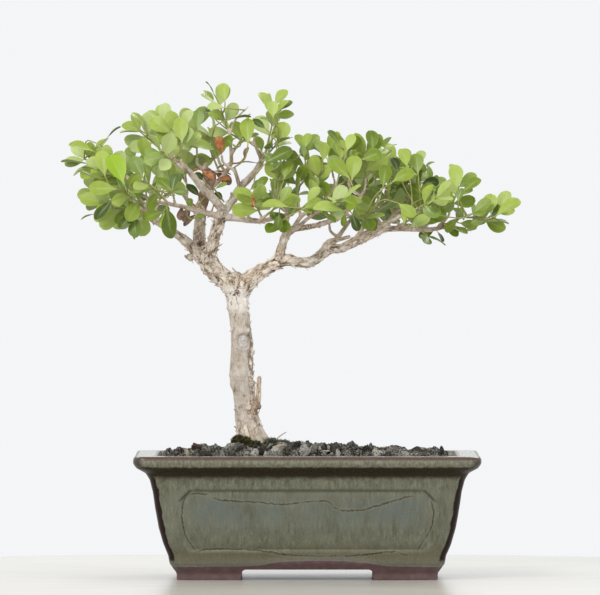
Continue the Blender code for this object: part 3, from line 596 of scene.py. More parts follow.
def drain_tool(x):
    angles = np.radians(np.arange(0, 360, 10))
    rings = [
        np.array([(x + DRAIN_RADIUS * math.cos(a), DRAIN_RADIUS * math.sin(a), z) for a in angles])
        for z in (HOLLOW_TOP - 3, FLOOR_TOP + 3)
    ]
    return tool_piece(*loft(rings))


def throw_pot(finish):
    points, faces = loft(pot_rings())
    pot = make_piece("pot_glazed", hand_made(press_panels(points)), faces, finish)
    hollow = [ring_round(FOOT_INSET + FOOT_RING, INNER_CORNER, z) for z in (-1, HOLLOW_TOP)]
    cut(pot, tool_piece(*loft(hollow)))
    cut(pot, arch_tool(HALF_LENGTH - FOOT_INSET - FOOT_LENGTH, HALF_DEPTH, False))
    cut(pot, arch_tool(HALF_DEPTH - FOOT_INSET - FOOT_DEPTH, HALF_LENGTH, True))
    for x in (POT_X - DRAIN_X, POT_X + DRAIN_X):
        cut(pot, drain_tool(x))
    return shade(pot, 42)


# %% [markdown]
# ## The glaze
#
# A grey-green stoneware glaze is never one colour. It ran downwards in fine streaks, lies thick and
# bluish in the upper part of the panels and thin and olive near the feet, breaks to red-brown on the lip's
# edge and on the upright corners, crawled into thin rusty lines just inside each panel, and stops in a
# wavy line above the bare mauve clay. Each of those is a layer, laid over the last by where it is: two
# numbers kept at every point say how far along its side it lies and how far in from the rim's edge.

# %% Glaze: where each point lies on its side
RUSTY_LINES = {
    "top": [(-84, 61), (-77, 62.3), (-64, 58), (-34, 56), (-16, 54.5), (-5, 55.7), (12, 57), (19, 52.6),
            (31, 50), (48, 53), (66, 58), (80, 60.5), (84, 57)],
    "foot": [(-84, 19), (-80, 20.5), (-60, 22.3), (-34, 21), (-6, 17.5), (24, 17.2), (46, 18.6), (64, 20.2),
             (71, 18), (84, 19)],
    "left": [(18, -76), (25, -83), (36, -88.5), (52, -89.5), (61, -86)],
    "right": [(18, 77), (28, 83), (40, 89.5), (52, 90), (61, 84)],
}
LINE_REACH = {"top": (-83, 83, 0), "foot": (-79, 72, 0), "left": (20, 59, 1), "right": (21, 57, 1)}
CLAY_LINE = [(-125, 9.8), (-40, 10.2), (-18, 13.2), (10, 13.9), (40, 12.6), (62, 10), (125, 9.6)]


def mark_sides(pot):
    """Keeps at every point how far along its side it lies, its inset, and how far it is from a corner."""
    points = points_of(pot)
    x, y = points[:, 0] - POT_X, points[:, 1]
    inset_x, inset_y = HALF_LENGTH - np.abs(x), HALF_DEPTH - np.abs(y)
    long_side = inset_x > inset_y
    inset = np.where(long_side, inset_y, inset_x)
    along_long = -x * np.sign(y)
    along_short = -y * np.sign(x) * (HALF_LENGTH - inset) / (HALF_DEPTH - inset)
    across = np.where(long_side, along_long, along_short)
    keep_numbers(pot, across=across, inset=inset, corner=inset_x - inset_y)


# %% Glaze: lines that wave along a side
def mark_line(finish, name, along, height, wobble):
    """How near a place is to one rusty line, from 0 to 1."""
    low, high, upright = LINE_REACH[name]
    run, offset = (height, along) if upright else (along, height)
    guide = RUSTY_LINES[name]
    first, last = guide[0][0], guide[-1][0]
    bottom, top = min(v for _, v in guide) - 1, max(v for _, v in guide) + 1
    stops = [((place - first) / (last - first), (value - bottom) / (top - bottom)) for place, value in guide]
    share = finish.sum("DIVIDE", finish.sum("SUBTRACT", run, first), last - first)
    place = finish.scaled(finish.curve(share, stops), top - bottom, bottom)
    gap = finish.sum("ABSOLUTE", finish.sum("SUBTRACT", finish.sum("ADD", offset, wobble), place))
    ends = finish.both((run, low - 1, low + 1), (run, high + 1, high - 1))
    return gap, ends


def clay_line(finish, along):
    """The height at which the glaze stops, which waves along each side."""
    stops = [(place / (2 * HALF_LENGTH) + 0.5, (height - 8) / 8) for place, height in CLAY_LINE]
    share = finish.scaled(along, 0.5 / HALF_LENGTH, 0.5)
    return finish.scaled(finish.curve(share, stops), 8.0, 8.0)


print(len(RUSTY_LINES), "rusty lines on each side")


# %% Glaze: the recipe
def mix_glaze():
    f = Finish("ash glaze over clay", IOR=1.5)
    along, inset, corner = f.number("across"), f.number("inset"), f.number("corner")
    streaks = f.cloud(1.7, detail=4, along=(1, 1, 9))
    dabs = f.cloud(2.4, detail=3, along=(1, 1, 4))
    runs = f.cloud(9, detail=3, along=(1, 1, 3.5))
    drift = f.cloud(34, detail=2)
    fine = f.cloud(0.9, detail=2)
    wave = f.scaled(f.cloud(5, detail=3), 5.0, -2.5)
    height = f.sum("ADD", f.z, wave)
    reach = f.sum("ABSOLUTE", along)

    olive, sage, thick = (0.088, 0.087, 0.053), (0.12, 0.123, 0.083), (0.152, 0.158, 0.112)
    f.colour = f.ramp(runs, [(0.3, olive), (0.5, sage), (0.72, thick)])
    f.coat((0.138, 0.141, 0.098), (drift, 0.42, 0.7))
    f.coat((0.225, 0.225, 0.165), (streaks, 0.52, 0.7), 0.48)
    f.coat((0.055, 0.056, 0.032), (streaks, 0.46, 0.3), 0.55)

    # Thicker and bluer in the upper half of the panel, most of all at its two ends
    upper = f.both((height, 30, 47), (height, 62, 55), (reach, 89, 80))
    f.coat((0.108, 0.131, 0.11), upper, (runs, 0.25, 0.6), 0.6)
    ends = f.both((reach, 28, 58), (reach, 87, 74), (height, 38, 48))
    f.coat((0.094, 0.118, 0.128), ends, upper, (dabs, 0.36, 0.66), (streaks, 0.34, 0.56), 0.7)

    # Tan dabs and freckles under the lip, olive and thin towards the feet
    high = f.rise(height, 61, 69)
    f.coat((0.215, 0.19, 0.125), high, (dabs, 0.5, 0.66), 0.62)
    f.coat((0.06, 0.062, 0.038), high, (dabs, 0.46, 0.34), 0.55)
    freckles = f.rise(f.cells(3.4, along=(1, 1, 2.2)), 0.22, 0.06)
    f.coat((0.27, 0.22, 0.13), (height, 64, 71), freckles, 0.6)
    f.coat((0.112, 0.102, 0.05), (height, 30, 15), 0.66)
    dots = f.rise(f.cells(5.2), 0.1, 0.045)
    f.coat((0.03, 0.022, 0.012), dots, (f.cloud(14), 0.5, 0.62))

    # Rusty crawl lines, each a thin dark thread in a paler, thicker seam of glaze
    wobble = f.scaled(f.cloud(2.6, detail=4), 3.2, -1.6)
    for name in RUSTY_LINES:
        gap, ends = mark_line(f, name, along, f.z, wobble)
        f.coat((0.175, 0.175, 0.118), ends, (gap, 2.6, 0.8), 0.35)
        thread = f.both(ends, (gap, 0.66, 0.22), (f.cloud(11, detail=1), 0.3, 0.44))
        f.coat((0.034, 0.022, 0.009), thread, 0.92)

    # The cut corners hold dark glaze. The line along each panel's top edge is partly dark glaze pooled
    # in the groove and partly painted shade under the step
    cut_gap = f.sum("ABSOLUTE", f.sum("SUBTRACT", f.sum("ADD", reach, f.z), 148.5))
    cut_reach = f.both((f.z, 55, 58), (f.z, 66, 63.5))
    pool = f.both((cut_gap, 2.4, 0.3), cut_reach, (fine, 0.25, 0.6))
    f.coat((0.02, 0.02, 0.012), pool, 0.85)
    # Painted shade under the panel's top step, over dark glaze pooled in the groove
    groove_pool_and_shade = f.sum("ABSOLUTE", f.sum("SUBTRACT", f.scaled(wobble, 0.35, f.z), PANEL_HIGH - 0.6))
    f.coat((0.05, 0.052, 0.03), (groove_pool_and_shade, 1.6, 0.2), (reach, 84, 78), 0.52)

    # Broken to a dark liver brown where the glaze ran thin: the upright corners
    bare = f.scaled(f.cloud(7, detail=3), 5.0, 0.6)
    edge = f.both((f.sum("SUBTRACT", corner, bare), 1.2, -0.4), (corner, -14, -11))
    edge = f.both(edge, (height, 80, 73), (f.z, 11, 15))
    f.coat((0.015, 0.006, 0.005), edge)

    # The lip: mottled sage with short runs, a dark band under it that is partly darker glaze and partly
    # painted shade under the overhang, brown along its top edge and its corners
    lip = f.rise(f.z, 79.5, 81.5)
    mottle = f.cloud(2.0, detail=4, along=(1, 1, 1.8))
    worn, usual, pale = (0.11, 0.101, 0.064), (0.156, 0.154, 0.106), (0.21, 0.216, 0.162)
    f.coat(f.ramp(mottle, [(0.33, worn), (0.5, usual), (0.66, pale)]), lip)
    f.coat((0.022, 0.011, 0.005), (f.sum("ABSOLUTE", corner), 8, 2), (f.z, 80, 82), (inset, 9, 5), 0.85)
    shade_low = f.scaled(wave, 0.4, f.z)
    # Painted shade under the lip's overhang, laid over a darker band in the glaze itself
    dark_glaze_and_shade_beneath = f.both((shade_low, 71.5, 75.5), (shade_low, 82.2, 80.6), (inset, 18, 14))
    f.coat((0.022, 0.015, 0.006), dark_glaze_and_shade_beneath, 0.96)
    top_edge = f.both((f.scaled(fine, 1.4, f.z), 86.6, 87.8), (inset, 3.6, 1.8))
    f.coat((0.072, 0.03, 0.017), top_edge, 0.92)
    inner_edge = f.both((inset, 14.8, 16.4), (inset, 19.5, 18.2), (f.z, 86, 87.5))
    inside_wall = f.both((inset, 16.6, 17.6), (f.z, 74, 80))
    f.coat((0.34, 0.345, 0.31), inside_wall, (mottle, 0.3, 0.5), 0.85)
    f.coat((0.085, 0.04, 0.024), inner_edge, 0.35)
    # The flat top is paler and glossier: partly paler glaze, partly a painted reflection of the bright room
    flat = f.both((f.z, 87.2, 88.2), (inset, 2.5, 4.0), (inset, 16, 14.5))
    f.coat((0.33, 0.34, 0.3), flat, (mottle, 0.3, 0.52), 0.85)

    # Bare clay below the wavy line, with a pale bead of glaze along it
    ragged = f.scaled(f.cloud(2.2, detail=3), 1.4, f.sum("SUBTRACT", f.z, 0.7))
    stop = f.sum("SUBTRACT", ragged, clay_line(f, along))
    pit, plain, dry = (0.078, 0.042, 0.041), (0.106, 0.058, 0.057), (0.135, 0.082, 0.078)
    clay = f.ramp(f.cloud(5, detail=5), [(0.3, pit), (0.55, plain), (0.75, dry)])
    clay = f.over(clay, f.both((fine, 0.62, 0.75), 0.4), (0.055, 0.03, 0.028))
    low_end = f.both((reach, 92.5, 95), (f.z, 4.0, 6.5))
    bared = f.both((stop, 0.25, -0.25), f.sum("SUBTRACT", 1.0, low_end))
    bead = f.rise(f.sum("ABSOLUTE", f.sum("SUBTRACT", stop, 0.1)), 0.8, 0.15)
    bead = f.both(bead, (reach, 97, 90), f.scaled(f.rise(reach, 55, 88), 0.35, 0.45))
    f.coat((0.15, 0.142, 0.116), (stop, 5.0, 2.2), (mottle, 0.3, 0.56), (f.z, 24, 20), 0.75)
    f.coat(clay, bared)
    f.coat((0.2, 0.19, 0.178), bead)
    f.give("Base Color", f.colour)

    dull = f.scaled(fine, 0.14, f.scaled(flat, -0.12, 0.2))
    rough = f.add("ShaderNodeMix", {0: bared, 2: dull, 3: 0.52})
    f.give("Roughness", rough.outputs[0])
    f.give("Specular IOR Level", f.scaled(f.sum("MAXIMUM", edge, dark_glaze_and_shade_beneath), -0.36, 0.5))
    pits = f.sum("ADD", f.cloud(0.55, detail=2), f.both(streaks, 0.8))
    f.relief(pits, 0.1)
    return f.material


# %% Pot: thrown, glazed and seated
pot = throw_pot(mix_glaze())
mark_sides(pot)
settle(pot, "glaze", "pot")

# %% [markdown]
# ## The soil
#
# The pot is filled with coarse dark soil: broken lumps of compost from a grain of rice to a hazelnut, dry
# and grey on their backs. Particles would scatter them quickly, but loose instances are easily lost, so
# the lumps are real small solids in one piece, on a bed whose height follows the measured mound.

# %% Soil: the bed
SOIL_EDGE, SOIL_MOUND, SOIL_INSET = 84.5, 8.5, 18.2
TRUNK_FOOT = (-27.0, 0.0)
TRUNK_MOUND, TRUNK_REACH = 4.5, 30.0
LUMP_SPACING, LUMP_HEIGHT, ROUGH_SPACING, ROUGH_HEIGHT = 11.0, 4.2, 5.0, 2.0
BED_ACROSS, BED_DEEP, BED_LAP, BED_SINK, ABOVE_POT = 150, 104, 4, 0.8, 178
SOIL_SEED = Vector((3.1, 7.7, 0.4))
SOIL_CLEAR = 0.3


def soil_height(x, y):
    """Height of the measured soil: mounded in the middle and round the trunk, lumpy all over."""
    off = max(abs(x - POT_X) / (HALF_LENGTH - SOIL_INSET), abs(y) / (HALF_DEPTH - SOIL_INSET))
    mound = SOIL_MOUND * max(0.0, 1 - off**3)
    from_trunk = math.hypot(x - TRUNK_FOOT[0], y - TRUNK_FOOT[1]) / TRUNK_REACH
    place = Vector((x, y, 0))
    distances, _ = noise.voronoi(place / LUMP_SPACING + SOIL_SEED)
    lump = LUMP_HEIGHT * (0.75 - distances[0])
    rough = ROUGH_HEIGHT * noise.noise(place / ROUGH_SPACING + SOIL_SEED)
    return SOIL_EDGE + mound + TRUNK_MOUND * max(0.0, 1 - from_trunk) + lump + rough


print("soil at the trunk", round(soil_height(*TRUNK_FOOT), 1), "mm up")

# %% Soil: its top line, as seen
END_LIFT, MIDDLE_DROP = 3.4, 1.0
# The soil's top line as the front view shows it, in pixels across and down the picture.
SOIL_LINE = [
    (0, 456), (162, 456), (165, 447.5), (170, 446), (178, 444.6), (186, 447.5), (189, 448.6), (193, 445),
    (200, 442), (206, 443.2), (210, 445.6), (215, 443.4), (219, 445), (223, 447), (229, 442.5), (232, 436),
    (262, 436), (282, 439.8), (290, 442.6), (294, 440.4), (302, 439.6), (307.3, 437.6), (311, 440.5),
    (315, 441.8), (322, 442.2), (338, 441.8), (346, 443.2), (353, 440.4), (358.5, 445.4), (365, 444.6),
    (371.5, 442.4), (376, 446.2), (385, 446.8), (394.5, 444), (404, 446.8), (408.5, 449.6), (417, 446.2),
    (428, 447.8), (436, 444.4), (439, 446.5), (442, 445.2), (446, 450.5), (448.5, 456), (600, 456),
]  # fmt: skip


def dressed_height(x, y):
    """The top dressing of loose lumps makes the soil flatter: it is raised at both ends."""
    off = abs(x - POT_X) / (HALF_LENGTH - SOIL_INSET)
    front = smooth_share(-abs(y) / (HALF_DEPTH - SOIL_INSET), -1.0, -0.6)
    return soil_height(x, y) + END_LIFT * smooth_share(off, 0.35, 0.85) * (0.4 + 0.6 * front) - MIDDLE_DROP


def over_line(points):
    """How far each place shows above the soil's top line, in millimetres."""
    across, down, scale = in_picture(points)
    line_across, line_down = zip(*SOIL_LINE)
    return (np.interp(across, line_across, line_down) - down) / scale


print("the bed at the trunk", round(dressed_height(*TRUNK_FOOT), 1), "mm up")


# %% Soil: laying the bed
def lay_bed(finish):
    """A closed bed that fills the pot, its top raised and dropped like crumbs."""
    half_x, half_y = HALF_LENGTH - SOIL_INSET + BED_LAP, HALF_DEPTH - SOIL_INSET + BED_LAP
    points = []
    for row in range(BED_DEEP + 1):
        for column in range(BED_ACROSS + 1):
            x, y = POT_X + half_x * (2 * column / BED_ACROSS - 1), half_y * (2 * row / BED_DEEP - 1)
            crumbs = 1.4 * noise.noise(Vector((x, y, 5)) / 2.3) + 0.7 * noise.noise(Vector((x, y, 9)) / 1.1)
            points.append((x, y, dressed_height(x, y) + crumbs - BED_SINK))
    points = np.array(points)
    points[:, 2] -= np.clip(over_line(points) + BED_SINK, 0, None)
    points = [tuple(point) for point in points]
    faces, rim = grid(BED_DEEP + 1, BED_ACROSS + 1)
    first = len(points)
    points += [(points[i][0], points[i][1], FLOOR_TOP - 3) for i in rim]
    for k, i in enumerate(rim):
        following = (k + 1) % len(rim)
        faces.append([i, first + k, first + following, rim[following]])
    faces.append(list(range(first, first + len(rim)))[::-1])
    bed = make_piece("soil_bed", points, faces, finish)
    rings = []
    for inset, z in [(INNER_PROFILE[1][0], ABOVE_POT), *INNER_PROFILE[1:]]:
        lift = SOIL_CLEAR if z == FLOOR_TOP else 0
        rings.append(ring_round(inset + SOIL_CLEAR, INNER_CORNER, z + lift))
    return shade(cut(bed, tool_piece(*loft(rings)), "INTERSECT"), 80)


# %% Soil: the lumps
LUMP_COUNTS = [(64, 4.2, 6.2, 3), (110, 2.6, 4.2, 3), (380, 1.5, 2.8, 2), (1500, 0.6, 1.5, 1)]
# Lumps that the front view shows one by one: middle and top in pixels, half width in pixels, depth,
# paleness, and redness where it isn't the usual.
SEEN_LUMPS = [
    (169, 446, 4.2, -46, 0.5), (178, 444.6, 7, -50, 0.45), (186.5, 448.6, 2.6, -64, 0.95, 0.02),
    (190.5, 447.6, 3, -40, 0.3), (200.3, 442, 9.8, -48, 0.3, 0.97), (216.5, 443.3, 7, -46, 0.55),
    (235, 441.5, 9.5, -48, 0.42), (254, 448.4, 6, -62, 0.97), (246, 449.5, 4, -64, 0.8),
    (275, 447.2, 7.5, -60, 1), (266, 450, 3.4, -64, 0.9), (289, 442.6, 5.5, -52, 0.35),
    (297.5, 439.6, 5.4, -36, 0.2), (304.5, 443.6, 6.5, -56, 0.86), (307.3, 437.6, 3, -30, 0.4),
    (314, 441.9, 5, -46, 0.7), (323.5, 442.2, 6.6, -48, 0.25), (335, 441.8, 6.6, -50, 0.3),
    (338, 448.6, 3.2, -64, 0.95), (352.5, 440.4, 6.8, -48, 0.62), (366.5, 444, 7, -46, 0.2),
    (371.5, 442.4, 4.6, -42, 0.3), (378, 448.2, 6, -62, 0.93), (394.5, 444, 8.4, -50, 0.66),
    (403.5, 446.6, 4.4, -44, 0.15), (405, 450, 6.6, -64, 0.82), (419, 446, 9.4, -48, 0.12),
    (435, 444.4, 6, -52, 0.48), (441.7, 445.2, 2.8, -46, 0.2), (445.6, 450.4, 2.8, -50, 0.35),
    (347, 449.6, 4, -66, 0.75), (360, 449, 5, -66, 0.55), (388, 450, 4, -66, 0.3),
    (325, 449.8, 4, -66, 0.72), (294, 449.6, 4.4, -66, 0.66), (222, 449.6, 4, -64, 0.7),
    (209, 449.8, 4, -64, 0.25), (426, 450.6, 4, -64, 0.6),
]  # fmt: skip
HIDDEN_FOOT = 461  # seen lumps reach down to this row of the picture, behind the rim
TRUNK_CLEAR = 12.0
LUMP_FACETS, LUMP_SEED, USUAL_RED = 9, 5, 0.5


print(sum(count for count, *_ in LUMP_COUNTS), "lumps to try,", len(SEEN_LUMPS), "seen one by one")


# %% Soil: breaking the lumps
def rough_ball(subdivisions):
    work = bmesh.new()
    bmesh.ops.create_icosphere(work, subdivisions=subdivisions, radius=1)
    points = np.array([vertex.co[:] for vertex in work.verts])
    faces = [[vertex.index for vertex in face.verts] for face in work.faces]
    work.free()
    return points, faces


def knock_lump(ball, chance):
    """A ball with flats broken off it on all sides, then crumbled a little all over."""
    points = ball.copy()
    for _ in range(LUMP_FACETS):
        way = any_way(chance).normalized()
        over = points @ np.array(way) - chance.uniform(0.52, 0.85)
        points = points - 0.9 * np.clip(over, 0, None)[:, None] * np.array(way)
    seed = Vector((chance.uniform(-90, 90), chance.uniform(-90, 90), 0))
    places = [Vector(point) for point in ball]
    crumbs = [0.2 * noise.noise(p * 2.2 + seed) + 0.16 * noise.noise(p * 5 + seed) for p in places]
    stretch = np.array([chance.uniform(0.8, 1.35), chance.uniform(0.8, 1.25), chance.uniform(0.6, 1.0)])
    axis = Vector((chance.random(), chance.random(), 1)).normalized()
    turn = np.array(Matrix.Rotation(chance.uniform(0, 6.3), 3, axis))
    return points * (1 + np.array(crumbs))[:, None] * stretch @ turn.T


def break_lumps(finish):
    """Broken lumps on the bed, big ones first. They sink deeper towards the pot's walls."""
    chance = random.Random(LUMP_SEED)
    heap = Heap("paleness", "redness")
    for count, smallest, largest, fineness in LUMP_COUNTS:
        ball, faces = rough_ball(fineness)
        for _ in range(count):
            size = smallest + (largest - smallest) * chance.random() ** 1.5
            reach_x, reach_y = HALF_LENGTH - SOIL_INSET - size * 1.2, HALF_DEPTH - SOIL_INSET - size * 1.2
            x, y = chance.uniform(-reach_x, reach_x), chance.uniform(-reach_y, reach_y)
            wall = max(abs(x) / reach_x, abs(y) / reach_y)
            x += POT_X
            if math.hypot(x - TRUNK_FOOT[0], y - TRUNK_FOOT[1]) < TRUNK_CLEAR + size:
                continue
            sink = size * (chance.uniform(0.0, 0.45) - 0.9 * smooth_share(wall, 0.82, 1.0))
            lump = knock_lump(ball, chance) * size + (x, y, dressed_height(x, y) + sink - 0.5)
            lump[:, 2] -= max(0.0, over_line(lump).max() + chance.uniform(0, 0.8))
            heap.add(lump, faces, paleness=chance.random(), redness=chance.random())
    ball, faces = rough_ball(3)
    for px, top, half, y, pale, *red in SEEN_LUMPS:
        lump = knock_lump(ball, chance)
        lump /= np.abs(lump).max(axis=0)
        highest, lowest = place_at(px, top, y), place_at(px, HIDDEN_FOOT, y)
        middle = (highest + lowest) / 2
        wide, tall = half / in_picture(middle)[2], (highest.z - lowest.z) / 2
        points = lump * (wide, wide, tall) + np.array(middle)
        heap.add(points, faces, paleness=pale, redness=red[0] if red else USUAL_RED)
    return heap.piece("soil_lumps", finish, crisp=32)


# %% [markdown]
# Soil looks dark because light is lost between the crumbs, while each crumb's back is a dull grey brown,
# partly where it has dried and partly painted light: the finish is paler where a face looks up. So the
# finish is dark, with black pits of painted shade and fine pale crumbs on it. Lumps differ: most are near
# black, some have dried out grey, and a few are red-brown bark or tan grit.


# %% Soil: the finish
def mix_soil(name, carries_numbers):
    f = Finish(name, Specular_IOR_Level=0.2, Roughness=0.95)
    grain = f.cloud(1.1, detail=5, roughness=0.72)
    pores = f.cells(1.5)
    black, dark, dull, dry = (0.01, 0.009, 0.007), (0.04, 0.036, 0.03), (0.15, 0.14, 0.12), (0.5, 0.48, 0.43)
    f.colour = f.ramp(grain, [(0.37, black), (0.47, dark), (0.55, dull), (0.67, dry)])
    # Black pits: painted shade in the pores between the crumbs
    f.coat(black, (pores, 0.42, 0.15), 0.6)
    up = f.add("ShaderNodeSeparateXYZ", {0: f.add("ShaderNodeNewGeometry").outputs["Normal"]}).outputs["Z"]
    # Paler where a face looks up: partly dry tops, partly painted light from above
    f.coat((0.19, 0.178, 0.155), (up, 0.1, 0.9), (f.cloud(2.0, detail=4), 0.44, 0.58), 0.45)
    f.coat((0.42, 0.405, 0.365), (f.cloud(17, detail=3), 0.5, 0.66), (grain, 0.42, 0.56), 0.6)
    if carries_numbers:
        pale, red = f.number("paleness"), f.number("redness")
        f.coat((0.024, 0.021, 0.017), (pale, 0.55, 0.15), 0.82)
        f.coat((0.5, 0.475, 0.42), (pale, 0.62, 0.95), (grain, 0.38, 0.54), 0.88)
        f.coat((0.09, 0.052, 0.04), (red, 0.93, 0.95), 0.75)
        f.coat((0.48, 0.4, 0.285), (red, 0.05, 0.03), (grain, 0.3, 0.5), 0.7)
    else:
        f.coat((0.07, 0.05, 0.032), (f.cloud(9, detail=3), 0.55, 0.72), 0.5)
    f.give("Base Color", f.colour)
    f.relief(f.scaled(pores, 0.5, grain), 1.1)
    return f.material


soil_bed = lay_bed(mix_soil("dark crumbly soil", False))
settle(soil_bed, "soil", "soil")
soil_lumps = break_lumps(mix_soil("broken lumps", True))
settle(soil_lumps, "soil")

# %% [markdown]
# ## The wood
#
# A boxwood this size is decades old: its trunk is as pale as driftwood with fine upright fissures, and its
# limbs carry bark that splits into papery shreds. The measured tree is a table of limbs, each a list of
# places with a radius. The same table is used here with rounder sticks, which a voxel remesh then melts
# into one skin, as living wood flows from one limb into the next. The bark is raised on that skin by
# formula, along each limb, and the loose shreds are small curled slips set into it.

